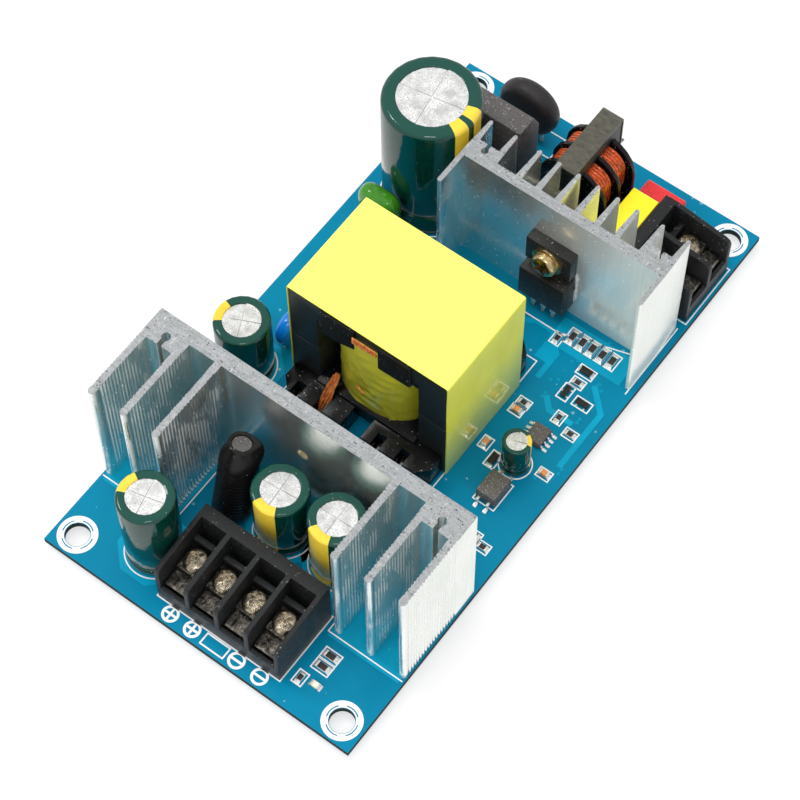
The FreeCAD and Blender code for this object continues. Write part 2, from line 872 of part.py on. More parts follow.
def package_body(label, at, turn):
    half = d.package_width / 2
    thick = d.package_thickness
    flange = d.package_flange
    foot = d.package_foot
    top = foot + d.package_height
    ledge = foot + d.package_block
    body = new_body(label, at, turn)
    side = [(0, foot), (thick - d.package_bevel, foot), (thick, foot + d.package_bevel),
            (thick, ledge), (flange, ledge), (flange, top), (0, top)]
    pad(body, "XZ", [side], -half, d.package_width)
    hole = flats(0, foot + d.package_hole_height, d.sink_screw_radius + d.sink_screw_play,
                 SHANK_SIDES)
    pocket(body, "YZ", [hole], -1, flange + 2)
    notch_top = ledge + d.package_notch_height
    notches = [rectangle(-half - 1, ledge, -half + d.package_notch_width, notch_top),
               rectangle(half - d.package_notch_width, ledge, half + 1, notch_top)]
    pocket(body, "YZ", notches, d.package_notch_floor, flange)
    return node(body, label)


def package_leads(label, at, turn, side):
    """Three stamped leads with wide shoulders, out of the package's lower end."""
    tip = d.lead_tail - d.short_tail - board_top
    narrow = d.package_lead_width / 2
    wide = d.package_shoulder_width / 2
    knee = d.package_shoulder_foot
    loops = []
    for step in (-1, 0, 1):
        middle = d.package_lead_pitch * step
        loops.append([(middle - narrow, tip), (middle + narrow, tip), (middle + narrow, knee),
                      (middle + wide, knee), (middle + wide, d.package_foot),
                      (middle - wide, d.package_foot), (middle - wide, knee),
                      (middle - narrow, knee)])
        lead_x = at[0] + (d.package_lead_out + d.package_lead_thickness / 2) * side
        drill_slot(lead_x, at[1] + middle * side, d.package_lead_thickness,
                   d.package_lead_width)
    body = new_body(label, at, turn)
    pad(body, "YZ", loops, d.package_lead_out, d.package_lead_thickness)
    return node(body, label)


def sink_screw(name, at, turn, grip):
    """A pan head screw with a captive washer, its thread left plain, pointing to its own -Z."""
    washer = d.sink_washer_thickness
    low = -d.package_flange - grip
    body = new_body(name, at, turn, (0, 1, 0))
    pad(body, "XY", [flats(0, 0, d.sink_screw_radius, SHANK_SIDES)], low, -low)
    pad(body, "XY", [Ring(0, 0, d.sink_washer_radius)], 0, washer)
    pad(body, "XY", [Ring(0, 0, d.sink_screw_head_radius)], washer, d.sink_screw_head_height)
    cross_recess(body, washer + d.sink_screw_head_height)
    return body


def make_packages():
    rectifier_face = d.output_sink_front + d.output_sink_wall
    rectifier_at = (rectifier_face, d.rectifier_y, board_top)
    transistor_at = (d.primary_sink_front, d.transistor_y, board_top)
    package_body("output_rectifier_body", rectifier_at, 0)
    package_body("switching_transistor_body", transistor_at, 180)
    package_leads("output_rectifier_leads", rectifier_at, 0, 1)
    package_leads("switching_transistor_leads", transistor_at, 180, -1)
    height = board_top + d.package_foot + d.package_hole_height
    rectifier_screw = sink_screw("rectifier_screw",
                                 (rectifier_face + d.package_flange, d.rectifier_y, height),
                                 90, d.rectifier_screw_grip)
    transistor_screw = sink_screw("transistor_screw",
                                  (d.primary_sink_front - d.package_flange, d.transistor_y, height),
                                  -90, d.transistor_screw_grip)
    group("heatsink_screws", [rectifier_screw, transistor_screw])


# Transformer: two ferrite halves about a round post, on a bobbin with two pin rails

def core_half(label, at, turn):
    depth = d.core_depth / 2
    length = d.core_length / 2
    body = new_body(label, at, turn, (1, 0, 0))
    pad(body, "XY", [rectangle(-depth, -length, depth, length)], 0, d.core_yoke)
    legs = [rectangle(-depth, -length, depth, -length + d.core_leg),
            rectangle(-depth, length - d.core_leg, depth, length),
            flats(0, 0, d.core_post_radius, POST_SIDES)]
    pad(body, "XY", legs, d.core_yoke, d.core_half_height - d.core_yoke)
    return node(body, label)


def pin_offsets():
    middles = (d.left_pins_y, d.right_pins_y)
    return [middle + d.pin_pitch / 2 * side for middle in middles for side in (-1, 1)]


def rail_outline(side_x, side_y):
    """One pin block: outer corner chamfered, beside the gap in the middle of its rail."""
    inner = (d.core_depth / 2 + d.bobbin_play) * side_x
    outer = d.rail_reach * side_x
    near = d.rail_gap / 2 * side_y
    far = (d.core_length / 2 - d.rail_setback) * side_y
    cut = d.rail_chamfer
    return [(inner, near), (outer, near), (outer, far - cut * side_y),
            (outer - cut * side_x, far), (inner, far)]


def make_bobbin(at):
    play = d.bobbin_play
    half_x = d.core_depth / 2
    half_y = d.core_length / 2 - d.core_leg - play
    bore = flats(0, 0, d.core_post_radius + play, POST_SIDES)
    tube = flats(0, 0, d.core_post_radius + play + d.bobbin_wall, POST_SIDES)
    low = d.core_foot + d.core_yoke + play
    top = d.core_foot + d.core_half_height * 2 + d.core_gap - d.core_yoke - play
    body = new_body("transformer_bobbin", at)
    ledge = half_x + d.bobbin_ledge
    pad(body, "XY", [rectangle(-ledge, -half_y, ledge, half_y), bore], low, d.bobbin_flange)
    pad(body, "XY", [tube, bore], low + d.bobbin_flange, top - low - d.bobbin_flange * 2)
    pad(body, "XY", [rectangle(-half_x, -half_y, half_x, half_y), bore],
        top - d.bobbin_flange, d.bobbin_flange)
    notch = d.flange_notch_width / 2
    pocket(body, "XY", [rectangle(-half_x - 1, -notch, -half_x + d.flange_notch_depth, notch)],
           top - d.bobbin_flange - 1, d.bobbin_flange + 2)
    blocks = [rail_outline(x, y) for x in (-1, 1) for y in (-1, 1)]
    pad(body, "XY", blocks, d.rail_foot, d.rail_top - d.rail_foot)
    slots, pins = [], []
    pin_x = d.rail_reach - d.pin_inset
    reach = d.pin_side / 2 + d.mould_play
    for side in (-1, 1):
        for offset in pin_offsets():
            inner = (d.rail_reach - d.rail_slot_depth) * side
            outer = (d.rail_reach + 1) * side
            low_y = offset - d.rail_slot_width / 2
            slots.append(rectangle(min_of(inner, outer), low_y, max_of(inner, outer),
                                   low_y + d.rail_slot_width))
            pins.append(rectangle(pin_x * side - reach, offset - reach,
                                  pin_x * side + reach, offset + reach))
    pocket(body, "XY", slots, d.rail_slot_floor, d.rail_top)
    pocket(body, "XY", pins, -1, d.rail_slot_floor + 1)
    node(body, "transformer_bobbin")
    return low + d.bobbin_flange, top - d.bobbin_flange


def make_winding(at, low, top):
    inner = d.core_post_radius + d.bobbin_play + d.bobbin_wall + d.mould_play
    winding = new_body("transformer_winding", at)
    outer = d.core_length / 2 - d.core_leg - d.winding_clearance
    pad(winding, "XY", [Ring(0, 0, outer), flats(0, 0, inner, POST_SIDES)],
        low + d.mould_play, top - low - d.mould_play * 2)
    node(winding, "transformer_winding")


def make_core_tape(at):
    inner = d.core_length / 2
    outer = inner + d.core_tape_thickness
    foot = d.core_tape_foot
    under = d.core_foot + d.core_half_height * 2 + d.core_gap
    top = under + d.core_tape_thickness
    band = [(-outer, foot), (-inner, foot), (-inner, under), (inner, under), (inner, foot),
            (outer, foot), (outer, under), (inner, top), (-inner, top), (-outer, under)]
    body = new_body("transformer_core_tape", at)
    pad(body, "YZ", [band], -d.core_tape_width / 2, d.core_tape_width)
    node(body, "transformer_core_tape")


def make_lead_out(at, top):
    """A twisted copper lead from the winding down into its rail slot, and a flat one above."""
    offset = d.left_pins_y - d.pin_pitch / 2
    slot_x = d.rail_reach - d.pin_inset
    low = d.rail_slot_floor + d.pin_stub + d.lead_play
    body = new_body("lead_out_twisted", (at[0] - slot_x, at[1] + offset, board_top))
    section = draw(body, "XY", [flats(0, 0, d.lead_out_radius, WIRE_SIDES)], low)
    start = slot_x - d.core_depth / 2
    path = body.newObject("Sketcher::SketchObject", "lead_out_path")
    role = [f for f in body.Origin.OriginFeatures if f.Role == "XZ_Plane"]
    path.AttachmentSupport = [(role[0], "")]
    path.MapMode = "FlatFace"
    draw_path(path, [(0, low), (0, d.rail_top + d.lead_out_radius),
                     (d.lead_out_lean, d.lead_out_knee), (start, d.lead_out_height)])
    pipe = body.newObject("PartDesign::AdditivePipe", "lead_out_pipe")
    pipe.Profile = section
    pipe.Spine = (path, ["Edge1", "Edge2", "Edge3"])
    pipe.Transition = "Right corner"
    body.Tip = pipe
    half = d.flange_notch_width / 2 - d.bobbin_play
    corner = (at[0] - d.core_tape_width / 2 - d.bobbin_play - d.lead_out_bundle,
              at[1] - half, board_top + top)
    flat = box("lead_out_flat", corner, (d.lead_out_bundle, half * 2, d.lead_out_bundle_height))
    group("transformer_lead_outs", [body, flat])


def make_transformer():
    at = (d.transformer_x, d.transformer_y, board_top)
    upper_top = board_top + d.core_foot + d.core_half_height * 2 + d.core_gap
    core_half("transformer_lower_core", (at[0], at[1], board_top + d.core_foot), 0)
    core_half("transformer_upper_core", (at[0], at[1], upper_top), 180)
    low, top = make_bobbin(at)
    make_winding(at, low, top)
    make_core_tape(at)
    make_lead_out(at, top)
    pins = []
    for side in (-1, 1):
        for offset in pin_offsets():
            pins.append(blade_lead("transformer_pin",
                                   at[0] + (d.rail_reach - d.pin_inset) * side, at[1] + offset,
                                   d.pin_side, d.pin_side, d.rail_slot_floor + d.pin_stub,
                                   d.short_tail))
    group("transformer_pins", pins)


# Electrolytic capacitors: an aluminium can in a shrunk sleeve that folds over its rim

def electrolytic(name, x, y, radius, height, fold, spacing, lead_radius):
    """Returns the can, its sleeve and its leads."""
    at = (x, y, board_top)
    skin = d.sleeve_thickness
    foot = d.can_foot
    shoulder = d.can_shoulder
    top = height - skin
    inner = radius - skin
    edge = inner - fold
    can = new_body(name + "_can", at)
    pad(can, "XY", [flats(0, 0, inner, CAN_SIDES)], foot, top - foot)
    sleeve = new_body(name + "_sleeve", at)
    revolve(sleeve, [(0, foot), (radius, foot), (radius, height - shoulder),
                     (radius - shoulder, height), (0, height)])
    pocket(sleeve, "XY", [flats(0, 0, inner, CAN_SIDES)], foot - 1, top - foot + 1)
    pocket(sleeve, "XY", [flats(0, 0, edge, CAN_SIDES)], foot, height)
    leads = [wire_lead(name + "_lead", x + spacing / 2 * side, y, foot, lead_radius,
                       d.short_tail) for side in (-1, 1)]
    return can, sleeve, leads


def make_capacitors():
    can, sleeve, leads = electrolytic("bulk_capacitor", d.bulk_can_x, d.bulk_can_y,
                                      d.bulk_can_radius, d.bulk_can_height,
                                      d.bulk_can_fold, d.bulk_lead_spacing,
                                      d.bulk_lead_radius)
    node(can, "bulk_capacitor_can")
    node(sleeve, "bulk_capacitor_sleeve")
    cans, sleeves = [], []
    for x, y, height in ((d.left_can_x, d.left_can_y, d.left_can_height),
                         (d.middle_can_x, d.middle_can_y, d.middle_can_height),
                         (d.right_can_x, d.right_can_y, d.right_can_height),
                         (d.rear_can_x, d.rear_can_y, d.rear_can_height)):
        can, sleeve, pair = electrolytic("output_capacitor", x, y, d.output_can_radius, height,
                                         d.output_can_fold, d.output_can_lead_spacing,
                                         d.can_lead_radius)
        cans.append(can)
        sleeves.append(sleeve)
        leads += pair
    group("output_capacitor_cans", cans)
    group("output_capacitor_sleeves", sleeves)
    can, sleeve, pair = electrolytic("supply_capacitor", d.supply_can_x, core_end - d.supply_can_y,
                                     d.supply_can_radius, d.supply_can_height,
                                     d.supply_can_fold, d.supply_can_lead_spacing,
                                     d.can_lead_radius)
    node(can, "supply_capacitor_can")
    node(sleeve, "supply_capacitor_sleeve")
    group("capacitor_leads", leads + pair)


# Rod choke: a wound ferrite rod in heat-shrink, leaning towards the heatsink

def make_rod_choke():
    at = (d.rod_x, d.rod_y, board_top + d.rod_foot)
    sideways = (0, 1, 0)
    wound = d.rod_winding_length
    length = d.rod_length
    core = flats(0, 0, d.rod_core_radius, POST_SIDES)
    coil = flats(0, 0, d.rod_winding_radius, POST_SIDES)
    outer = d.rod_winding_radius + d.rod_sleeve_thickness
    rod = new_body("rod_choke_core", at, d.rod_lean_angle.value, sideways)
    pad(rod, "XY", [core], 0, length)
    winding = new_body("rod_choke_winding", at, d.rod_lean_angle.value, sideways)
    pad(winding, "XY", [coil, core], 0, wound)
    sleeve = new_body("rod_choke_sleeve", at, d.rod_lean_angle.value, sideways)
    revolve(sleeve, [(0, 0), (outer, 0), (outer, wound), (d.rod_sleeve_neck_radius, length),
                     (0, length)])
    pocket(sleeve, "XY", [coil], -1, wound + 1)
    pocket(sleeve, "XY", [core], 0, length + 1)
    for item in (rod, winding, sleeve):
        bind(item, "Placement.Rotation.Angle", d.rod_lean_angle)
        node(item, item.Name)
    return [wire_lead("rod_choke_lead", d.rod_x + d.rod_lead_spread / 2 * side, d.rod_y,
                      d.rod_foot - d.rod_lead_stagger * (side + 1), d.rod_lead_radius,
                      d.short_tail) for side in (-1, 1)]


# Mains side: bridge rectifier, thermistor, common mode choke, filter capacitor and fuse

def make_bridge():
    at = (d.bridge_x, d.bridge_y, board_top)
    half = d.bridge_thickness / 2
    wide = d.bridge_width / 2
    side = [(-half, d.bridge_foot), (half, d.bridge_foot),
            (half, d.bridge_top - d.bridge_bevel * 2), (half - d.bridge_bevel, d.bridge_top),
            (-half, d.bridge_top)]
    body = new_body("bridge_rectifier_body", at)
    pad(body, "XZ", [side], -wide, d.bridge_width)
    corner = [(wide - d.bridge_corner, d.bridge_top + 1), (wide + 1, d.bridge_top + 1),
              (wide + 1, d.bridge_top - d.bridge_corner), (wide, d.bridge_top - d.bridge_corner),
              (wide - d.bridge_corner, d.bridge_top)]
    pocket(body, "YZ", [corner], -half - 1, d.bridge_thickness + 2)
    node(body, "bridge_rectifier_body")
    tip = d.lead_tail - d.short_tail - board_top
    narrow = d.bridge_lead_width / 2
    broad = d.bridge_shoulder_width / 2
    knee = d.bridge_shoulder_foot
    loops = []
    for step in range(4):
        middle = d.bridge_lead_pitch * (step - 1.5)
        loops.append([(middle - narrow, tip), (middle + narrow, tip), (middle + narrow, knee),
                      (middle + broad, knee), (middle + broad, d.bridge_foot),
                      (middle - broad, d.bridge_foot), (middle - broad, knee),
                      (middle - narrow, knee)])
        drill_slot(at[0], at[1] + middle, d.bridge_lead_thickness, d.bridge_lead_width)
    leads = new_body("bridge_rectifier_leads", at)
    pad(leads, "YZ", loops, -d.bridge_lead_thickness / 2, d.bridge_lead_thickness)
    node(leads, "bridge_rectifier_leads")


def dipped(label, at, plane, thickness, rim, outline):
    """A dip-coated part: a thick outline with the edges of both its faces sloped off."""
    body = new_body(label, at)
    pad(body, plane, [outline], -thickness / 2, thickness)
    doc.recompute()
    thick = body.Tip
    normal = Vector(0, 1, 0) if plane == "XZ" else Vector(1, 0, 0)
    faces = ["Face%d" % number for number, face in enumerate(thick.Shape.Faces, 1)
             if abs(face.normalAt(0, 0).dot(normal)) > 0.5]
    chamfer = body.newObject("PartDesign::Chamfer", label + "_rim")
    chamfer.Base = (thick, faces)
    bind(chamfer, "Size", rim)
    body.Tip = chamfer
    return node(body, label)


def make_thermistor():
    at = (d.thermistor_x, d.thermistor_y, board_top + d.thermistor_height)
    dipped("thermistor_disc", at, "YZ", d.thermistor_thickness, d.thermistor_rim,
           flats(0, 0, d.thermistor_radius, CAN_SIDES))
    return [wire_lead("thermistor_lead", d.thermistor_x,
                      d.thermistor_y + d.thermistor_lead_spacing / 2 * side,
                      d.thermistor_height - d.thermistor_radius, d.thermistor_lead_radius,
                      d.short_tail) for side in (-1, 1)]


def arched(radius, foot, axis):
    """A flange outline: straight sides that end in a half round of flats."""
    upper = flats(0, axis, radius, CAN_SIDES)[:CAN_SIDES // 2 + 1]
    return [(-radius, foot), (radius, foot)] + upper


def make_choke():
    at = (d.choke_x, d.choke_y, board_top)
    half_x = d.choke_core_length / 2
    half_y = d.choke_core_width / 2
    axis = d.choke_axis_height
    limb = d.choke_limb / 2
    low = axis - limb
    top = d.choke_core_top
    end = half_x - d.choke_end_limb
    core = new_body("choke_core", at)
    pad(core, "XZ", [rectangle(-half_x, low, half_x, top),
                     rectangle(-end, axis + limb, end, top - d.choke_limb)],
        -half_y, d.choke_core_width)
    node(core, "choke_core")

    play = d.bobbin_play
    bore_y, bore_z = half_y + play, limb + play
    tube_y, tube_z = bore_y + d.choke_tube_wall, bore_z + d.choke_tube_wall
    reach = end - play
    thick = d.choke_flange_thickness
    radius = d.choke_flange_radius
    foot = d.choke_base_foot
    bobbin = new_body("choke_bobbin", at)
    bore = rectangle(-bore_y, axis - bore_z, bore_y, axis + bore_z)
    pad(bobbin, "YZ", [rectangle(-tube_y, axis - tube_z, tube_y, axis + tube_z), bore],
        -reach, reach * 2)
    for middle in (-d.choke_flange_pitch, size(0), d.choke_flange_pitch):
        pad(bobbin, "YZ", [arched(radius, foot, axis), bore], middle - thick / 2, thick)
    base = rectangle(-reach, -radius, reach, radius)
    pad(bobbin, "XY", [base], foot, d.choke_base_height - foot)
    upper = top - d.choke_limb - play
    pocket(bobbin, "YZ", [rectangle(-bore_y, upper, bore_y, top)], -reach - 1, reach * 2 + 2)
    pins = []
    hole = d.choke_pin_side / 2 + d.mould_play
    for side_x in (-1, 1):
        for side_y in (-1, 1):
            x = d.choke_pin_spread_x / 2 * side_x
            y = d.choke_pin_spread_y / 2 * side_y
            pins.append(rectangle(x - hole, y - hole, x + hole, y + hole))
    pin_height = d.choke_base_height - 1
    pocket(bobbin, "XY", pins, -1, pin_height + 1 + d.mould_play)
    node(bobbin, "choke_bobbin")

    windings = []
    gap = thick / 2 + d.mould_play
    for side in (-1, 1):
        start = gap if side > 0 else -d.choke_flange_pitch + gap
        coil = new_body("choke_winding", at)
        inner = rectangle(-tube_y - d.mould_play, axis - tube_z - d.mould_play,
                          tube_y + d.mould_play, axis + tube_z + d.mould_play)
        pad(coil, "YZ", [wound_section(axis, tube_y, tube_z), inner],
            start, d.choke_flange_pitch - gap * 2)
        windings.append(coil)
    group("choke_windings", windings)

    clip_out = half_x + d.choke_clip_thickness
    clip_top = top + d.choke_clip_thickness
    hook = top - d.choke_clip_drop
    hooked = half_x + d.choke_clip_thickness + d.choke_clip_hook
    thin = d.choke_clip_thickness
    clip = new_body("choke_clip", at)
    pad(clip, "XZ", [[(-half_x, top), (half_x, top), (half_x, hook), (hooked, hook - thin),
                      (hooked, hook), (clip_out, hook + thin), (clip_out, top),
                      (half_x, clip_top), (-half_x, clip_top), (-clip_out, top),
                      (-clip_out, hook + thin), (-hooked, hook), (-hooked, hook - thin),
                      (-half_x, hook)]],
        -d.choke_clip_width / 2, d.choke_clip_width)
    node(clip, "choke_clip")
    leads = []
    for side_x in (-1, 1):
        for side_y in (-1, 1):
            leads.append(blade_lead("choke_pin", d.choke_x + d.choke_pin_spread_x / 2 * side_x,
                                    d.choke_y + d.choke_pin_spread_y / 2 * side_y,
                                    d.choke_pin_side, d.choke_pin_side, pin_height,
                                    d.short_tail))
    group("choke_pins", leads)


def wound_section(axis, tube_y, tube_z):
    """The rounded outline of a coil wound on a square tube."""
    radius = d.choke_winding_radius
    side_y = size(radius)
    build = radius - tube_z
    corner_z = axis + tube_z
    low_z = axis - tube_z
    return [(-tube_y, low_z - build), (tube_y, low_z - build), (side_y, low_z),
            (side_y, corner_z), (tube_y, corner_z + build), (-tube_y, corner_z + build),
            (-side_y, corner_z), (-side_y, low_z)]


def edged_box(label, at, half_x, half_y, foot, top):
    """A moulded box whose upper edges are broken."""
    edge = d.box_edge
    body = new_body(label, at)
    outline = [(-half_x, foot), (half_x, foot), (half_x, top - edge), (half_x - edge, top),
               (-half_x + edge, top), (-half_x, top - edge)]
    pad(body, "XZ", [outline], -half_y, half_y * 2)
    return body


def make_filter_capacitor():
    at = (d.filter_box_x, d.filter_box_y, board_top)
    half_x = d.filter_box_length / 2
    half_y = d.filter_box_width / 2
    rib = d.filter_box_rib
    body = edged_box("filter_capacitor_body", at, half_x, half_y, size(0), d.filter_box_height)
    inset = rectangle(-half_x + rib * 2, -half_y - 1, half_x - rib * 2, half_y + 1)
    pocket(body, "XY", [inset], -1, rib + 1)
    node(body, "filter_capacitor_body")
    leads = []
    for side in (-1, 1):
        leads.append(wire_lead("filter_lead", d.filter_box_x + d.filter_lead_spacing / 2 * side,
                               d.filter_box_y, rib, d.filter_lead_radius, d.short_tail))
    return leads


def make_fuse():
    at = (d.fuse_x, d.fuse_y, board_top)
    rib = d.filter_box_rib
    half_x = d.fuse_thickness / 2
    half_y = d.fuse_length / 2
    body = edged_box("fuse_body", at, half_x, half_y, size(0), d.fuse_height)
    inset = rectangle(-half_x - 1, -half_y + rib * 2, half_x + 1, half_y - rib * 2)
    pocket(body, "XY", [inset], -1, rib + 1)
    node(body, "fuse_body")
    leads = []
    for side in (-1, 1):
        leads.append(wire_lead("fuse_lead", d.fuse_x,
                               d.fuse_y + d.fuse_lead_spacing / 2 * side, rib,
                               d.fuse_lead_radius, d.short_tail))
    return leads


def make_film_capacitor():
    y = d.film_width / 2
    z = (d.film_top - d.film_bottom) / 2
    cut = d.film_corner
    at = (d.film_x, d.film_y, board_top + d.film_bottom + z)
    outline = [(-y + cut, -z), (y - cut, -z), (y, -z + cut), (y, z - cut), (y - cut, z),
               (-y + cut, z), (-y, z - cut), (-y, -z + cut)]
    dipped("film_capacitor_body", at, "YZ", d.film_thickness, d.film_rim, outline)
    return [wire_lead("film_lead", d.film_x, d.film_y + d.film_lead_spacing / 2 * side,
                      d.film_bottom, d.film_lead_radius, d.short_tail) for side in (-1, 1)]


def make_safety_capacitor():
    at = (d.safety_x, d.safety_y, board_top + d.safety_bottom + d.safety_radius)
    dipped("safety_capacitor_disc", at, "XZ", d.safety_thickness, d.safety_rim,
           flats(0, 0, d.safety_radius, CAN_SIDES))
    return [wire_lead("safety_lead", d.safety_x + d.safety_lead_spacing / 2 * side, d.safety_y,
                      d.safety_bottom, d.safety_lead_radius, d.short_tail) for side in (-1, 1)]


# Surface parts

def chip_body(label, at, length, width, height):
    """A moulded chip whose sides lean in from the parting line at mid height."""
    half = length / 2
    bevel = d.chip_bevel
    low = d.chip_stand_off
    middle = (low + height) / 2
    body = new_body(label, at)
    side = [(-half + bevel, low), (half - bevel, low), (half, middle), (half - bevel, height),
            (-half + bevel, height), (-half, middle)]
    pad(body, "XZ", [side], -width / 2, width)
    return node(body, label)


def gull_profile(edge, reach, height, side):
    """A bent lead from the chip's side down to its foot on the board."""
    thick = d.chip_lead_thickness
    middle = (d.chip_stand_off + height) / 2
    outer = edge + reach
    bend = outer - d.chip_lead_foot
    return [((edge * side), middle), (bend * side, middle), (bend * side, thick),
            (outer * side, thick), (outer * side, 0), ((bend - thick) * side, 0),
            ((bend - thick) * side, middle - thick), (edge * side, middle - thick)]


def make_chips():
    opto_at = (d.optocoupler_x, core_end - d.optocoupler_y, board_top)
    chip_body("optocoupler_body", opto_at, d.optocoupler_length, d.optocoupler_width,
              d.optocoupler_height)
    controller_at = (d.controller_x, core_end - d.controller_y, board_top)
    chip_body("controller_body", controller_at, d.controller_length, d.controller_width,
              d.controller_height)
    opto_leads = new_body("optocoupler_leads", opto_at)
    half = d.optocoupler_lead_width / 2
    for row in (-1, 1):
        middle = d.optocoupler_pitch / 2 * row
        loops = [gull_profile(d.optocoupler_length / 2, d.optocoupler_reach,
                              d.optocoupler_height, side) for side in (-1, 1)]
        pad(opto_leads, "XZ", loops, middle - half, d.optocoupler_lead_width)
    leads = new_body("controller_leads", controller_at)
    half = d.controller_lead_width / 2
    loops = [gull_profile(d.controller_width / 2, d.controller_reach, d.controller_height, side)
             for side in (-1, 1)]
    for row in range(4):
        middle = d.controller_pitch * (row - 1.5)
        pad(leads, "YZ", loops, middle - half, d.controller_lead_width)
    group("chip_leads", [opto_leads, leads])


def small_part(name, x, below, along, across, height):
    """A chip part at a distance in front of the transformer."""
    return box(name, (x - along / 2, core_end - below - across / 2, board_top),
               (along, across, height))


def make_surface_parts():
    length, width, height = d.resistor_length, d.resistor_width, d.resistor_height
    short, narrow = d.small_resistor_length, d.small_resistor_width
    end = -d.board_length / 2
    resistors = [small_part("row_resistor", d.row_x, d.row_y + d.row_pitch * step,
                            length, width, height) for step in range(5)]
    for step in range(2):
        x = end + d.lamp_resistor_x + d.lamp_resistor_step * step
        resistors.append(small_part("lamp_resistor", x, d.lamp_resistor_y,
                                    width, length, height))
    for name, x, below in (("gate_resistor", d.gate_resistor_x, d.gate_resistor_y),
                           ("sense_resistor", d.sense_resistor_x, d.sense_resistor_y),
                           ("lamp_series", end + d.lamp_series_x, d.lamp_series_y)):
        resistors.append(small_part(name, x, below, short, narrow, height))
    for name, x, below in (
            ("base_resistor", d.base_resistor_x, d.base_resistor_y),
            ("edge_resistor", d.edge_resistor_x, d.edge_resistor_y),
            ("start_resistor", d.start_resistor_x, d.start_resistor_y),
            ("outer_loop_resistor", d.outer_loop_resistor_x, d.outer_loop_resistor_y),
            ("inner_loop_resistor", d.inner_loop_resistor_x, d.inner_loop_resistor_y)):
        resistors.append(small_part(name, x, below, narrow, short, height))
    group("surface_resistors", resistors)
    tall = d.chip_capacitor_height
    group("surface_capacitors", [
        small_part("start_capacitor", d.start_capacitor_x, d.start_capacitor_y,
                   narrow, short, tall),
        small_part("edge_capacitor", d.edge_capacitor_x, d.edge_capacitor_y,
                   narrow, short, tall),
        small_part("near_capacitor", d.near_capacitor_x, d.near_capacitor_y,
                   short, narrow, tall)])
    long, wide = d.small_transistor_length, d.small_transistor_width
    deep = d.small_transistor_height
    group("surface_transistors", [
        small_part("upper_transistor", d.upper_transistor_x, d.upper_transistor_y,
                   long, wide, deep),
        small_part("lower_transistor", d.lower_transistor_x, d.lower_transistor_y,
                   wide, long, deep)])
    group("surface_diodes", [
        small_part("clamp_diode", d.clamp_diode_x, d.clamp_diode_y, wide, long, deep),
        small_part("supply_diode", d.supply_diode_x, d.supply_diode_y, long, wide, deep)])
    lamp = small_part("indicator_lamp", end + d.lamp_x, d.lamp_y, d.lamp_width, d.lamp_length,
                      d.lamp_height)
    node(lamp, "indicator_lamp")


def make_board():
    half_x = d.board_length / 2
    half_y = d.board_width / 2
    hole_x = half_x - d.mount_inset_x
    hole_y = half_y - d.mount_inset_y
    mounts = [Ring(hole_x * x, hole_y * y, d.mount_hole_radius) for x in (-1, 1) for y in (-1, 1)]
    blank = new_body("board_blank", (0, 0, d.lead_tail))
    pad(blank, "XY", [rectangle(-half_x, -half_y, half_x, half_y)] + mounts, 0,
        d.board_thickness)
    holes = doc.addObject("Part::Compound", "board_drills")
    holes.Links = drills
    board = doc.addObject("Part::Cut", "circuit_board")
    board.Base = blank
    board.Tool = holes
    node(board, "circuit_board")


def check_document():
    doc.recompute()
    for item in doc.Objects:
        if "Invalid" in item.State or "Error" in item.State:
            raise RuntimeError("%s did not compute: %s" % (item.Label, item.State))
    for item in nodes:
        if item.Shape.isNull() or not item.Shape.isValid():
            raise RuntimeError("%s has no valid shape" % item.Label)


def main():
    make_terminals()
    output_holes = make_output_heatsink()
    primary_holes = make_primary_heatsink()
    make_heatsink_pins(output_holes, primary_holes)
    make_packages()
    make_transformer()
    make_capacitors()
    make_bridge()
    make_choke()
    small_leads = make_rod_choke() + make_thermistor() + make_filter_capacitor()
    small_leads += make_fuse() + make_film_capacitor() + make_safety_capacitor()
    group("small_part_leads", small_leads)
    make_chips()
    make_surface_parts()
    make_board()
    check_document()
    os.makedirs("parts", exist_ok=True)
    for item in nodes:
        item.Shape.exportStep(os.path.join("parts", item.Label + ".step"))


main()
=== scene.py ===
"""Open frame power supply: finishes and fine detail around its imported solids."""

import math

import bmesh
import bpy
from bpy.props import FloatProperty, FloatVectorProperty, PointerProperty
from mathutils import Matrix, Vector, noise


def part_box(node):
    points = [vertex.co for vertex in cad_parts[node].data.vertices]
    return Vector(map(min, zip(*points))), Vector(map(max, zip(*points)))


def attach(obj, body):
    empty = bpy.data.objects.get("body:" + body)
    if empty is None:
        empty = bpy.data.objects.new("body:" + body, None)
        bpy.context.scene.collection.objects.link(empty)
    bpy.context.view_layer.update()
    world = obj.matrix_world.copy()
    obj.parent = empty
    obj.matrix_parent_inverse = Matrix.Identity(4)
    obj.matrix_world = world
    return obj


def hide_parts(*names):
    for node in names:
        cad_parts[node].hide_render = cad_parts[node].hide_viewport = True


bl_info = {
    "name": "Open Frame Power Supply",
    "version": (1, 0, 0),
    "blender": (4, 5, 0),
    "location": "3D View > Sidebar > Power Supply",
    "description": "Dresses the solids of an open frame power supply",
    "category": "Object",
}

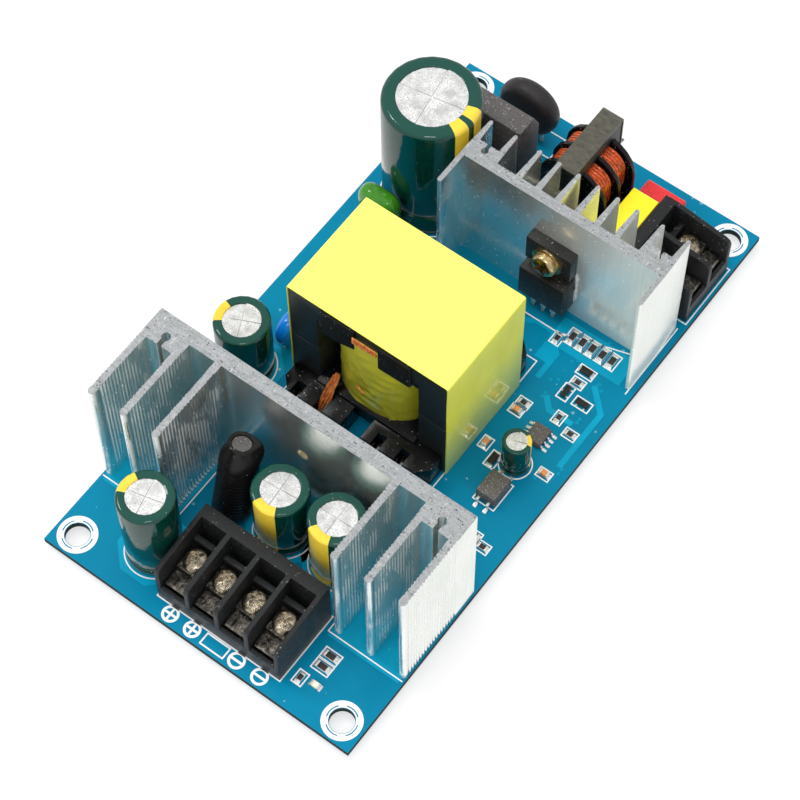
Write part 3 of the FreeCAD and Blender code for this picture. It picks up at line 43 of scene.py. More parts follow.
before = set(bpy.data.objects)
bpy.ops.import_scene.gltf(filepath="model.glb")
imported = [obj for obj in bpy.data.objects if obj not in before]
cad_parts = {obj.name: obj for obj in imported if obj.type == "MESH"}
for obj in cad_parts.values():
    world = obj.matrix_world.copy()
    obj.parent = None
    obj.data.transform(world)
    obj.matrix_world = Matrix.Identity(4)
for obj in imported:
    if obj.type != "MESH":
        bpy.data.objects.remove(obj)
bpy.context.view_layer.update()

MM = 0.001
MERGE_REACH = 1e-7
SOLID_MERGE_REACH = 2e-6
FLAT_ANGLE = math.radians(1.5)
ROUNDED_ANGLE = math.radians(28)
BOARD_LOW, BOARD_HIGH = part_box("circuit_board")
BOARD_FOOT, BOARD_TOP, BOARD_HALF_X = BOARD_LOW.z / MM, BOARD_HIGH.z / MM, BOARD_HIGH.x / MM


def extent(node):
    """The (low, high) corners of a node's box, in millimetres."""
    return [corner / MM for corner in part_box(node)]


def centred(low, high):
    """Middle and half size of a box."""
    return (low + high) / 2, (high - low) / 2


def footprint(node):
    """Middle and half size, along X and along Y."""
    middle, half = centred(*extent(node))
    return *middle.xy, *half.xy


# Sizes and colours that a user would change

def colour(name, description, red, green, blue):
    """A colour property, its default given as the display shows it, 0 to 255."""
    return FloatVectorProperty(name=name, description=description, subtype="COLOR", size=3,
                               min=0.0, max=1.0, default=linear(red, green, blue))


def linear(*display):
    return tuple((c / 255 / 12.92) if c <= 10 else ((c / 255 + 0.055) / 1.055) ** 2.4
                 for c in display)


def length(name, description, default):
    return FloatProperty(name=name, description=description, default=default, min=0.0,
                         subtype="DISTANCE", unit="LENGTH", precision=5)


class PSU_Colours(bpy.types.PropertyGroup):
    """Colours of the finishes."""
    mask: colour("Solder mask", "Board lacquer over bare laminate", 4, 122, 156)
    copper_area: colour("Copper areas", "Board lacquer over copper", 8, 150, 186)
    silk: colour("Board print", "White print on the board", 238, 242, 244)
    sleeve: colour("Capacitor sleeve", "Shrunk sleeve of the electrolytics", 4, 66, 56)
    band: colour("Sleeve band", "Stripe down the negative side", 240, 206, 64)
    tape: colour("Transformer tape", "Polyester tape on core and winding", 248, 248, 112)
    copper: colour("Enamelled copper", "Winding wire", 214, 96, 48)
    plastic: colour("Terminal plastic", "Moulded terminal blocks", 27, 28, 29)


class PSU_Sizes(bpy.types.PropertyGroup):
    """Sizes of the detail that the solids leave out."""
    rib_pitch: length("Fin rib pitch", "Distance between the ribs of a fin", 0.0009)
    rib_depth: length("Fin rib depth", "Depth of the grooves between ribs", 0.0002)
    print_width: length("Print line", "Width of a line printed on the board", 0.00028)
    print_height: length("Print height", "Thickness of the print", 0.00003)
    turn_pitch: length("Choke turn pitch", "Distance between turns of the choke", 0.00078)
    sleeve_rib: length("Shrink rib pitch", "Distance between ribs of the rod choke", 0.00098)
    joint_height: length("Solder height", "Height of a solder joint", 0.0008)
    disc_share: FloatProperty(name="Disc share", default=0.68, min=0.3, max=0.95,
                              description="Bare part of a can's end, as a share of its radius")


class PSU_Stage(bpy.types.PropertyGroup):
    """Camera and light."""
    lens: FloatProperty(name="Lens", description="Focal length for a 36 mm sensor",
                        default=116.21, min=10.0, subtype="DISTANCE_CAMERA")
    key_power: FloatProperty(name="Key lamp", description="Power of the lamp overhead",
                             default=7.0, min=0.0, unit="POWER")
    sky: FloatProperty(name="Sky", description="Strength of the pale surroundings",
                       default=0.6, min=0.0)
    floor_size: length("Floor", "Side of the square floor", 1.6)


def colours():
    return bpy.context.scene.psu_colours


def sizes():
    return bpy.context.scene.psu_sizes


# Building meshes, in millimetres

def belt(rows, steps):
    """Faces between rows + 1 closed rings, each of as many points as steps."""
    return [(r * steps + s, r * steps + (s + 1) % steps,
             (r + 1) * steps + (s + 1) % steps, (r + 1) * steps + s)
            for r in range(rows) for s in range(steps)]


def arc(x, y, radius, steps, start=0.0, sweep=math.tau):
    """Points of a circle, or of a part of one with both its ends."""
    count = steps if abs(sweep) >= math.tau else steps + 1
    return [(x + radius * math.cos(start + sweep * s / steps),
             y + radius * math.sin(start + sweep * s / steps)) for s in range(count)]


def oblong(x, y, half_x, half_y):
    return [(x - half_x, y - half_y), (x + half_x, y - half_y), (x + half_x, y + half_y),
            (x - half_x, y + half_y)]


class Form:
    """Points and the faces between them; each face has the number of its material."""

    def __init__(self):
        self.points, self.faces, self.slots, self.wraps = [], [], [], {}

    def add(self, points, faces, slot=0):
        start = len(self.points)
        self.points += [Vector(p) for p in points]
        self.faces += [[start + i for i in face] for face in faces]
        self.slots += [slot] * len(faces)

    def join(self, other, matrix):
        self.add([matrix @ p for p in other.points], other.faces)

    def box(self, low, high, slot=0):
        x, y, z = zip(low, high)
        points = [(x[i & 1], y[i >> 1 & 1], z[i >> 2]) for i in range(8)]
        self.add(points, [(0, 2, 3, 1), (4, 5, 7, 6), (0, 1, 5, 4), (1, 3, 7, 5), (3, 2, 6, 7),
                          (2, 0, 4, 6)], slot)

    def prism(self, outline, low, high, slot=0, end_slot=None):
        count = len(outline)
        self.add([(x, y, z) for z in (low, high) for x, y in outline],
                 belt(1, count) + [range(count - 1, -1, -1), range(count, count * 2)], slot)
        if end_slot is not None:
            self.slots[-2:] = end_slot, end_slot

    def lathe(self, profile, steps, place=None, slot=0, bend=None):
        """Turns (radius, height) points about Z; bend(angle, radius, height) may move one."""
        place = place or Matrix.Identity(4)
        rings, runs = [], [0.0]
        for before, after in zip(profile, profile[1:]):
            runs.append(runs[-1] + math.dist(before, after))
        for radius, height in profile:
            start = len(self.points)
            for step in range(steps if radius > 1e-6 else 1):
                angle = math.tau * step / steps
                r, h = bend(angle, radius, height) if bend else (radius, height)
                self.points.append(
                    place @ Vector((r * math.cos(angle), r * math.sin(angle), h)))
            rings.append(range(start, len(self.points)))
        for row in range(len(rings) - 1):
            for step in range(steps):
                face, wrap = [], []
                for number, turn in ((row, step), (row, step + 1), (row + 1, step + 1),
                                     (row + 1, step)):
                    point = rings[number][turn % len(rings[number])]
                    if point not in face:
                        face.append(point)
                        wrap.append((turn / steps, runs[number] / 100))
                if len(face) > 2:
                    self.wraps[len(self.faces)] = wrap
                    self.faces.append(face)
                    self.slots.append(slot)

    def tube(self, path, radius, sides):
        """A round wire along a list of points, closed at both ends."""
        path = [Vector(p) for p in path]
        across = None
        points = []
        for number, point in enumerate(path):
            along = (path[min(number + 1, len(path) - 1)]
                     - path[max(number - 1, 0)]).normalized()
            if across is None:
                across = along.orthogonal().normalized()
            across = (across - along * across.dot(along)).normalized()
            other = along.cross(across)
            points += [point + (across * x + other * y) * radius
                       for x, y in arc(0, 0, 1, sides)]
        last = (len(path) - 1) * sides
        self.add(points, belt(len(path) - 1, sides)
                 + [range(sides - 1, -1, -1), range(last, last + sides)])

    def piece(self, name, materials, crease=35, bevel=0.0, segments=2):
        mesh = bpy.data.meshes.new(name)
        mesh.from_pydata([p * MM for p in self.points], [], self.faces)
        for material in materials:
            mesh.materials.append(material)
        mesh.polygons.foreach_set("material_index", self.slots)
        if self.wraps:
            layer = mesh.uv_layers.new(name="wrap")
            for number, wrap in self.wraps.items():
                for loop, uv in zip(mesh.polygons[number].loop_indices, wrap):
                    layer.data[loop].uv = uv
        return finish(new_object(name, mesh), crease, bevel, segments)


def new_object(name, data):
    item = bpy.data.objects.new(name, data)
    bpy.context.scene.collection.objects.link(item)
    return item


def opened(mesh):
    work = bmesh.new()
    work.from_mesh(mesh)
    return work


def written(work, mesh):
    work.to_mesh(mesh)
    work.free()


def finish(item, crease=35, bevel=0.0, segments=2):
    """Merged, faced outwards, with its edges rounded and its creases kept sharp."""
    work = opened(item.data)
    bmesh.ops.remove_doubles(work, verts=work.verts, dist=MERGE_REACH)
    bmesh.ops.recalc_face_normals(work, faces=work.faces)
    written(work, item.data)
    if bevel:
        rounding = item.modifiers.new("rounding", "BEVEL")
        rounding.width = bevel * MM
        rounding.segments = segments
        rounding.limit_method = "ANGLE"
        rounding.angle_limit = ROUNDED_ANGLE
        rounding.use_clamp_overlap = True
        settle(item)
    return smooth(item, crease)


def smooth(item, crease):
    item.data.shade_smooth()
    item.data.set_sharp_from_angle(angle=math.radians(crease))
    return item


def plain_mesh(item):
    """What an object's modifiers make of it, as a mesh of its own."""
    bpy.context.view_layer.update()
    ready = item.evaluated_get(bpy.context.evaluated_depsgraph_get())
    return bpy.data.meshes.new_from_object(ready)


def settle(item):
    """Turns what the modifiers make into the piece's plain mesh."""
    mesh = plain_mesh(item)
    item.modifiers.clear()
    item.data = mesh


def keep(item, slot, *nodes):
    """A finished piece rides on the part and takes the place of the solids it stands for."""
    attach(item, "root")
    if nodes:
        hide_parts(*nodes)


def cut(item, *forms):
    """Takes forms out of a piece, one after the other."""
    for form in forms:
        tool = form.piece("tool", [])
        hole = item.modifiers.new("hole", "BOOLEAN")
        hole.operation, hole.solver, hole.object = "DIFFERENCE", "EXACT", tool
        settle(item)
        bpy.data.objects.remove(tool)


def dress(node, material, slot, bevel, segments):
    """A solid's own shape as a piece, merged and with its edges rounded."""
    item = new_object(node + "_finished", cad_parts[node].data.copy())
    item.data.materials.clear()
    work = opened(item.data)
    bmesh.ops.remove_doubles(work, verts=work.verts, dist=SOLID_MERGE_REACH)
    bmesh.ops.dissolve_limit(work, angle_limit=FLAT_ANGLE, verts=work.verts,
                             edges=work.edges, delimit={"NORMAL"})
    written(work, item.data)
    finish(item, 35, bevel, segments)
    item.data.materials.append(material)
    keep(item, slot, node)


def dress_all(f, *rows):
    """Dresses solids; a row names a finish, a slot, the bevel, its segments and the nodes."""
    for name, slot, bevel, segments, *nodes in rows:
        for node in nodes:
            dress(node, f[name], slot, bevel, segments)


def repaint(node, material):
    """The finish of a solid that stays as it is."""
    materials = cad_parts[node].data.materials
    materials.clear()
    materials.append(material)


def lumps(node):
    """(low, high) corners of each loose solid of a node, in millimetres, from -X to +X."""
    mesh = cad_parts[node].data
    keys = [tuple(round(c * 1e6) for c in vertex.co) for vertex in mesh.vertices]
    parent = {key: key for key in keys}

    def root(key):
        while parent[key] != key:
            parent[key] = parent[parent[key]]
            key = parent[key]
        return key

    for polygon in mesh.polygons:
        first, *rest = [keys[v] for v in polygon.vertices]
        for other in rest:
            parent[root(other)] = root(first)
    groups = {}
    for vertex, key in zip(mesh.vertices, keys):
        groups.setdefault(root(key), []).append(vertex.co / MM)
    found = [(Vector([min(c) for c in zip(*group)]), Vector([max(c) for c in zip(*group)]))
             for group in groups.values()]
    return sorted(found, key=lambda pair: (round(pair[0].x, 1), round(pair[0].y, 1)))


def spots(node):
    """(middle, half size) of each loose solid of a node."""
    return [centred(low, high) for low, high in lumps(node)]


# Geometry node trees for what repeats

def shared(name, make):
    """A node group that is built once, at its first use."""
    return bpy.data.node_groups.get(name) or make(name)


def open_socket(sockets, name):
    return next(s for s in sockets if s.name == name and s.enabled)


def geometry_tree(name, inputs, kinds, joins):
    """A tree from its inputs, its nodes and the (node, socket) pairs that are joined."""
    tree = bpy.data.node_groups.new(name, "GeometryNodeTree")
    for label, way, kind in (("Geometry", "INPUT", "Geometry"),
                             *((label, "INPUT", kind) for label, kind in inputs.items()),
                             ("Geometry", "OUTPUT", "Geometry")):
        tree.interface.new_socket(name=label, in_out=way, socket_type="NodeSocket" + kind)
    kinds = dict(kinds, given="NodeGroupInput", result="NodeGroupOutput",
                 real="GeometryNodeRealizeInstances", paint="GeometryNodeSetMaterial",
                 place="GeometryNodeInstanceOnPoints")
    nodes = {key: tree.nodes.new(kind) for key, kind in kinds.items()}
    joins += (("place", "Instances", "real", "Geometry"),
              ("given", "Material", "paint", "Material"),
              ("paint", "Geometry", "result", "Geometry"))
    for source, output, target, entry in joins:
        tree.links.new(open_socket(nodes[source].outputs, output),
                       open_socket(nodes[target].inputs, entry))
    return tree, nodes


def copies_tree(name):
    """Places one shape on every point, scaled by the point's own size and turned at random."""
    tree, nodes = geometry_tree(
        name, {"Shape": "Object", "Turn": "Float", "Seed": "Int", "Material": "Material"},
        {"shape": "GeometryNodeObjectInfo", "points": "GeometryNodeMeshToPoints",
         "chance": "FunctionNodeRandomValue", "angles": "ShaderNodeCombineXYZ",
         "size": "GeometryNodeInputNamedAttribute"},
        (("given", "Shape", "shape", "Object"), ("given", "Geometry", "points", "Mesh"),
         ("points", "Points", "place", "Points"), ("shape", "Geometry", "place", "Instance"),
         ("given", "Turn", "chance", "Max"), ("given", "Seed", "chance", "Seed"),
         ("chance", "Value", "angles", "Z"), ("angles", "Vector", "place", "Rotation"),
         ("size", "Attribute", "place", "Scale"), ("real", "Geometry", "paint", "Geometry")))
    nodes["size"].inputs["Name"].default_value = "size"
    return tree


def turns_tree(name):
    """Repeats a closed path along X and runs a wire round each turn."""
    tree, nodes = geometry_tree(
        name, {"Turns": "Int", "Pitch": "Float", "Wire Radius": "Float",
               "Material": "Material"},
        {"row": "GeometryNodeMeshLine", "step": "ShaderNodeCombineXYZ",
         "wire": "GeometryNodeCurvePrimitiveCircle", "sweep": "GeometryNodeCurveToMesh"},
        (("given", "Turns", "row", "Count"), ("given", "Pitch", "step", "X"),
         ("step", "Vector", "row", "Offset"), ("row", "Mesh", "place", "Points"),
         ("given", "Geometry", "place", "Instance"), ("real", "Geometry", "sweep", "Curve"),
         ("given", "Wire Radius", "wire", "Radius"),
         ("wire", "Curve", "sweep", "Profile Curve"), ("sweep", "Mesh", "paint", "Geometry")))
    nodes["wire"].inputs["Resolution"].default_value = 6
    return tree


def run_tree(name, data, tree, values):
    """A new piece: what a tree with its named inputs makes of a mesh or a curve."""
    source = new_object("source", data)
    modifier = source.modifiers.new(tree.name, "NODES")
    modifier.node_group = tree
    for socket in tree.interface.items_tree:
        if socket.in_out == "INPUT" and socket.name in values:
            modifier[socket.identifier] = values[socket.name]
    item = new_object(name, plain_mesh(source))
    bpy.data.objects.remove(source)
    return item


def place_copies(name, form, places, material, turn=0.0, seed=1, crease=35):
    """One form on every (x, y, z, size) place, in millimetres, as a single piece."""
    template = form.piece("template", [material], crease)
    mesh = bpy.data.meshes.new(name)
    mesh.from_pydata([Vector(p[:3]) * MM for p in places], [], [])
    mesh.attributes.new("size", "FLOAT", "POINT").data.foreach_set(
        "value", [p[3] for p in places])
    item = run_tree(name, mesh, shared("Place Copies", copies_tree),
                    {"Shape": template, "Turn": turn, "Seed": seed, "Material": material})
    bpy.data.objects.remove(template)
    leftover = item.data.attributes.get("size")
    if leftover:
        item.data.attributes.remove(leftover)
    item.data.set_sharp_from_angle(angle=math.radians(crease))
    return item


def wind(name, loop, turns, pitch, radius, material):
    """Turns of wire round a closed loop of points, each turn a pitch further along X."""
    curve = bpy.data.curves.new(name, "CURVE")
    curve.dimensions = "3D"
    spline = curve.splines.new("POLY")
    spline.points.add(len(loop) - 1)
    for point, place in zip(spline.points, loop):
        point.co = (*(Vector(place) * MM), 1.0)
    spline.use_cyclic_u = True
    item = run_tree(name, curve, shared("Wind Turns", turns_tree),
                    {"Turns": turns, "Pitch": pitch * MM, "Wire Radius": radius * MM,
                     "Material": material})
    return finish(item, 60)


# Finishes

class Nodes:
    """Short ways to add nodes to a tree."""

    def __init__(self, tree):
        self.tree = tree

    def add(self, kind, **settings):
        node = self.tree.nodes.new(kind)
        for name, value in settings.items():
            setattr(node, name, value)
        return node

    def feed(self, socket, value):
        if isinstance(value, bpy.types.NodeSocket):
            self.tree.links.new(value, socket)
        elif value is not None:
            if socket.type == "RGBA" and len(value) == 3:
                value = (*value, 1.0)
            socket.default_value = value

    def math(self, operation, first, second=None, third=None, clamp=False):
        node = self.add("ShaderNodeMath", operation=operation, use_clamp=clamp)
        for socket, value in zip(node.inputs, (first, second, third)):
            self.feed(socket, value)
        return node.outputs[0]

    def times(self, first, second):
        return self.math("MULTIPLY", first, second)

    def most(self, first, second):
        return self.math("MAXIMUM", first, second)

    def mix(self, share, first, second):
        node = self.add("ShaderNodeMix", data_type="RGBA")
        self.feed(node.inputs[0], share)
        self.feed(node.inputs[6], first)
        self.feed(node.inputs[7], second)
        return node.outputs[2]

    def spread(self, value, low, high, to_low=0.0, to_high=1.0):
        node = self.add("ShaderNodeMapRange")
        for socket, number in zip(node.inputs, (value, low, high, to_low, to_high)):
            self.feed(socket, number)
        return node.outputs[0]

    def parts(self, vector):
        node = self.add("ShaderNodeSeparateXYZ")
        self.feed(node.inputs[0], vector)
        return node.outputs

    def place(self):
        return self.add("ShaderNodeTexCoord").outputs["Object"]

    def stretch(self, vector, scale):
        node = self.add("ShaderNodeMapping")
        self.feed(node.inputs["Vector"], vector)
        node.inputs["Scale"].default_value = scale
        return node.outputs[0]


def new_effect(name, inputs, output):
    """An empty shader node group for an effect that several finishes share."""
    tree = bpy.data.node_groups.new(name, "ShaderNodeTree")
    for label, way, kind in (("Vector", "INPUT", "Vector"),
                             *((label, "INPUT", "Float") for label in inputs),
                             (output, "OUTPUT", "Float")):
        tree.interface.new_socket(name=label, in_out=way, socket_type="NodeSocket" + kind)
    nodes = Nodes(tree)
    return nodes, nodes.add("NodeGroupInput").outputs, nodes.add("NodeGroupOutput").inputs[0]


def texture(nodes, kind, given):
    """A texture node whose patches have the effect's size."""
    node = nodes.add(kind)
    nodes.feed(node.inputs["Vector"], given["Vector"])
    nodes.feed(node.inputs["Scale"], nodes.math("DIVIDE", 1.0, given["Size"]))
    return node


def mottle(name):
    """Soft cloudy variation between 0 and 1, with patches of a given size."""
    nodes, given, result = new_effect(name, ("Size", "Contrast"), "Value")
    cloud = texture(nodes, "ShaderNodeTexNoise", given)
    cloud.inputs["Detail"].default_value = 4.0
    half = nodes.math("SUBTRACT", cloud.outputs["Fac"], 0.5)
    nodes.feed(result, nodes.math("MULTIPLY_ADD", half, given["Contrast"], 0.5, True))
    return nodes.tree


def flecks(name):
    """Scattered small spots: 1 on a spot and 0 between them."""
    nodes, given, result = new_effect(name, ("Size", "Share"), "Mask")
    cells = texture(nodes, "ShaderNodeTexVoronoi", given)
    chance = nodes.parts(cells.outputs["Color"])
    chosen = nodes.math("LESS_THAN", chance[0], given["Share"])
    near = nodes.math("LESS_THAN", cells.outputs["Distance"], nodes.times(chance[1], 0.45))
    nodes.feed(result, nodes.times(chosen, near))
    return nodes.tree


def streaks(name):
    """Fine lines along whichever way the vector was squeezed."""
    nodes, given, result = new_effect(name, ("Size", "Low", "High"), "Value")
    cloud = texture(nodes, "ShaderNodeTexNoise", given)
    cloud.inputs["Detail"].default_value = 5.0
    cloud.inputs["Roughness"].default_value = 0.7
    nodes.feed(result, nodes.spread(cloud.outputs["Fac"], given["Low"], given["High"]))
    return nodes.tree


class Finish(Nodes):
    """A material with one Principled shader; its patterns have their size in millimetres."""

    def __init__(self, name, colour, roughness, metallic=0.0, **plain):
        self.made = bpy.data.materials.new(name)
        self.made.use_nodes = True
        super().__init__(self.made.node_tree)
        self.shader = self.tree.nodes["Principled BSDF"]
        self.vector = self.place()
        self.set("Base Color", colour)
        self.set("Roughness", roughness)
        self.set("Metallic", metallic)
        for key, value in plain.items():
            self.set(key.replace("_", " "), value)

    def set(self, socket, value):
        self.feed(self.shader.inputs[socket], value)

    def effect(self, name, make, size, stretch, **values):
        node = self.add("ShaderNodeGroup", node_tree=shared(name, make))
        vector = self.stretch(self.vector, stretch) if stretch else self.vector
        for key, value in dict(values, Vector=vector, Size=size * MM).items():
            self.feed(node.inputs[key], value)
        return node.outputs[0]

    def mottle(self, size, contrast, stretch=None):
        return self.effect("Mottle", mottle, size, stretch, Contrast=contrast)

    def flecks(self, size, share):
        return self.effect("Flecks", flecks, size, None, Share=share)

    def streaks(self, size, low, high, stretch=None):
        return self.effect("Streaks", streaks, size, stretch, Low=low, High=high)

    def facing(self):
        """X, Y and Z of the way that the surface faces."""
        return self.parts(self.add("ShaderNodeNewGeometry").outputs["Normal"])

    def painted_light_from_above(self, side, top):
        """One tone on upright faces and a lighter one on level ones: painted light from above.
        """
        return self.mix(self.spread(self.facing()[2], 0.3, 0.8), side, top)

    def between(self, share, tone, dark, light):
        """A tone from one shade of it to another."""
        return self.mix(share, shade(tone, dark), shade(tone, light))

    def bump(self, height, distance, strength=1.0, before=None):
        node = self.add("ShaderNodeBump")
        node.inputs["Distance"].default_value = distance * MM
        node.inputs["Strength"].default_value = strength
        self.feed(node.inputs["Height"], height)
        self.feed(node.inputs["Normal"], before)
        self.set("Normal", node.outputs[0])
        return node.outputs[0]

    def done(self, body, height, depth):
        self.set("Base Color", body)
        self.bump(height, depth)
        return self.made


def shade(tone, factor):
    return tuple(min(c * factor, 1.0) for c in tone)


def moulded(name, tone, roughness, grain=0.35, fleck=0.02, coat=0.0, depth=0.02,
            fleck_tone=(0.35, 0.35, 0.34)):
    """Moulded or dipped plastic: cloudy tone, fine grain and a few pale specks of dust."""
    f = Finish(name, tone, roughness, Coat_Weight=coat, Coat_Roughness=0.08,
               Specular_IOR_Level=0.3)
    body = f.between(f.mottle(4, 1.6), tone, 0.75, 1.3)
    fine = f.mottle(grain, 2.4)
    body = f.mix(f.times(fine, 0.5), body, shade(tone, 1.9))
    if fleck:
        body = f.mix(f.flecks(0.3, fleck), body, fleck_tone)
    f.set("Roughness", f.spread(fine, 0.2, 0.8, roughness * 0.8, min(roughness * 1.25, 1)))
    return f.done(body, fine, depth)


def metal(name, tone, roughness, size=1.2, depth=0.01, along=None, dark=0.55, metallic=1.0):
    """Plated or drawn metal with fine streaks and duller patches."""
    f = Finish(name, tone, roughness, metallic)
    lines = f.streaks(size, 0.35, 0.68, along)
    f.set("Roughness", f.spread(lines, 0.0, 1.0, roughness * 1.5, roughness * 0.8))
    body = f.between(lines, tone, dark, 1)
    return f.done(f.mix(f.times(f.mottle(3, 1.8), 0.4), body, shade(tone, dark)), lines,
                  depth)


def board_lacquer():
    """Lacquer over woven glass; the board's upright edges are painted near black, a painted
    shade along the edge.
    """
    mask = colours().mask
    f = Finish("board_lacquer", mask, 0.3, Specular_IOR_Level=0.1)
    body = f.between(f.mottle(20, 1.3), mask, 0.82, 1.16)
    weave = f.mottle(0.5, 1.2, (1, 3, 1))
    body = f.mix(f.times(weave, 0.22), body, shade(mask, 1.5))
    body = f.mix(f.times(f.flecks(0.9, 0.03), 0.35), body, (0.45, 0.7, 0.78))
    # painted shade: upright faces, the board's edges, are painted near black
    upright = f.math("LESS_THAN", f.math("ABSOLUTE", f.facing()[2]), 0.5)
    edge = f.mix(f.mottle(1.5, 2.0, (1, 1, 8)), (0.008, 0.014, 0.014), (0.035, 0.06, 0.055))
    f.set("Roughness", f.spread(upright, 0.0, 1.0, 0.3, 0.75))
    return f.done(f.mix(upright, body, edge), weave, 0.006)


def copper_lacquer():
    """Lacquer over copper, which shows paler."""
    tone = colours().copper_area
    f = Finish("copper_lacquer", tone, 0.28, Specular_IOR_Level=0.12)
    body = f.between(f.mottle(6, 1.5), tone, 0.88, 1.18)
    return f.done(f.mix(f.times(f.flecks(0.9, 0.03), 0.5), body, (0.5, 0.75, 0.8)),
                  f.mottle(0.6, 1.5), 0.005)


def sawn_aluminium():
    """The cut ends of the extrusions: grey, with saw marks, scratches and fine pits."""
    f = Finish("sawn_aluminium", (0.5, 0.52, 0.53), 0.42, 0.45)
    saw = f.streaks(0.5, 0.34, 0.66, (1, 0.16, 1))
    scratch = f.streaks(0.45, 0.6, 0.7, (0.25, 1, 1))
    fine = f.mottle(0.16, 3.0)
    body = f.mix(saw, (0.15, 0.16, 0.165), (0.33, 0.35, 0.36))
    body = f.mix(f.times(fine, 0.55), body, (0.72, 0.73, 0.74))
    body = f.mix(f.times(scratch, 0.75), body, (0.95, 0.95, 0.96))
    return f.done(f.mix(f.flecks(0.45, 0.25), body, (0.1, 0.11, 0.12)),
                  f.math("ADD", saw, fine), 0.03)


def drawn_aluminium():
    """Extruded faces: satin, with faint lines along the extrusion, greasy smears and painted
    light on the rib flanks and the primary wall.
    """
    f = Finish("drawn_aluminium", (0.9, 0.91, 0.91), 0.24, 0.8)
    lines = f.streaks(0.7, 0.3, 0.7, (1, 1, 0.02))
    smear = f.mottle(9, 3.0, (1, 1, 0.6))
    dots = f.flecks(0.4, 0.05)
    body = f.mix(lines, (0.84, 0.88, 0.83), (0.97, 0.99, 0.94))
    body = f.mix(f.times(smear, 0.2), body, (0.7, 0.76, 0.72))
    facing, place = f.facing(), f.parts(f.vector)
    # a painted highlight: the flank of each rib on the fins that faces -X is painted pale and
    # made less metallic, in patches
    flank = f.spread(f.times(facing[0], f.math("ABSOLUTE", facing[1])), -0.1, -0.42)
    painted_rib_highlight = f.times(flank, f.spread(f.mottle(4, 4.0, (1, 1, 0.4)), 0.25, 0.85, 0.05, 0.55))
    # a painted light: the wall of the primary heatsink is made less metallic, and so paler,
    # towards the board's -Y edge
    painted_wall_light = f.times(f.spread(place[0], 14 * MM, 18 * MM), f.spread(place[1], 0.0, -32 * MM))
    painted_light_mask = f.most(painted_rib_highlight, f.times(painted_wall_light, 0.66))
    f.set("Base Color", f.mix(f.most(dots, painted_rib_highlight), body, (1.0, 1.0, 1.0)))
    f.set("Metallic", f.spread(f.most(dots, painted_light_mask), 0.0, 1.0, 0.92, 0.0))
    f.set("Roughness", f.spread(smear, 0.15, 0.85, 0.16, 0.27))
    scratch = f.streaks(0.9, 0.62, 0.7, (1, 0.2, 1))
    f.bump(scratch, 0.004, before=f.bump(lines, 0.006))
    return f.made


def bare_can():
    """The pressed end of a can: matt and pale, with grey grain."""
    f = Finish("bare_can", (0.8, 0.8, 0.79), 0.4, 0.3)
    fine = f.mottle(0.22, 3.2)
    grain = f.spread(f.times(fine, f.mottle(2.2, 2.4)), 0.05, 0.5)
    body = f.mix(grain, (0.5, 0.5, 0.49), (0.8, 0.8, 0.79))
    return f.done(f.mix(f.times(f.flecks(0.32, 0.28), 0.75), body, (0.22, 0.22, 0.22)),
                  fine, 0.012)


def sleeve_film(bands):
    """Shrunk sleeve printed with bands, each (middle, half width) as a share of the turn."""
    tones = colours()
    f = Finish("sleeve_film", tones.sleeve, 0.09)
    around = f.parts(f.add("ShaderNodeUVMap", uv_map="wrap").outputs[0])[0]
    cloud = f.mottle(2.5, 1.6)
    # painted light: the level faces of the rim take a lighter tone than the upright sides
    body = f.painted_light_from_above(f.between(cloud, tones.sleeve, 0.55, 0.85), shade(tones.sleeve, 1.05))
    band = 0.0
    for middle, half in bands:
        off = f.math("ABSOLUTE", f.math("SUBTRACT", around, middle))
        band = f.most(band, f.math("LESS_THAN", off, half))
    body = f.mix(band, body, f.between(cloud, tones.band, 0.92, 1.06))
    return f.done(f.mix(f.times(f.flecks(0.4, 0.02), 0.3), body, (0.5, 0.6, 0.58)), cloud,
                  0.04)


def tape_film(name, tone, wrinkles):
    """Polyester tape, glossier low on its sides, where the board shows in it, with painted
    shade: its sides are painted darker than its top.
    """
    f = Finish(name, tone, 0.3, Specular_IOR_Level=0.25, Coat_Roughness=0.03, Coat_IOR=2.3)
    f.set("Coat Weight", f.spread(f.parts(f.vector)[2], (BOARD_TOP + 4) * MM,
                                  (BOARD_TOP + 22) * MM, 1.0, 0))
    # painted shade: the upright sides take a darker, deeper yellow than the level top
    side = tuple(c * s for c, s in zip(tone, (0.76, 0.78, 0.42)))
    side = f.between(f.mottle(5, 1.6, (1, 1, 0.4)), side, 0.9, 1.08)
    f.set("Base Color", f.painted_light_from_above(side, tone))
    f.bump(f.streaks(2.6, 0.35, 0.65, (1, 1, 0.35)), wrinkles, 0.5)
    return f.made


def box_plastic(name, top, side):
    """Potted box, orange on its upright faces and painted a lighter yellow on its level faces:
    painted light from above.
    """
    f = Finish(name, top, 0.3, Specular_IOR_Level=0.3)
    return f.done(f.mix(f.times(f.mottle(4, 1.5), 0.2), f.painted_light_from_above(side, top),
                        shade(side, 0.9)), f.mottle(0.5, 1.6), 0.006)


def wire_enamel(name, bright):
    tone = shade(colours().copper, bright)
    f = Finish(name, tone, 0.2, 0.4)
    f.set("Base Color", f.between(f.mottle(0.8, 2.4), tone, 0.45, 1.6))
    return f.made


def grey_grain(name, tone, light, dark, size, roughness, share):
    """Fine grain of dark and light specks, as on ferrite or a laser-dulled package."""
    f = Finish(name, tone, roughness)
    fine = f.mottle(size, 3.0)
    return f.done(f.mix(f.flecks(size * 1.3, share), f.mix(fine, dark, tone), light), fine,
                  0.02)


FINISHES = {}


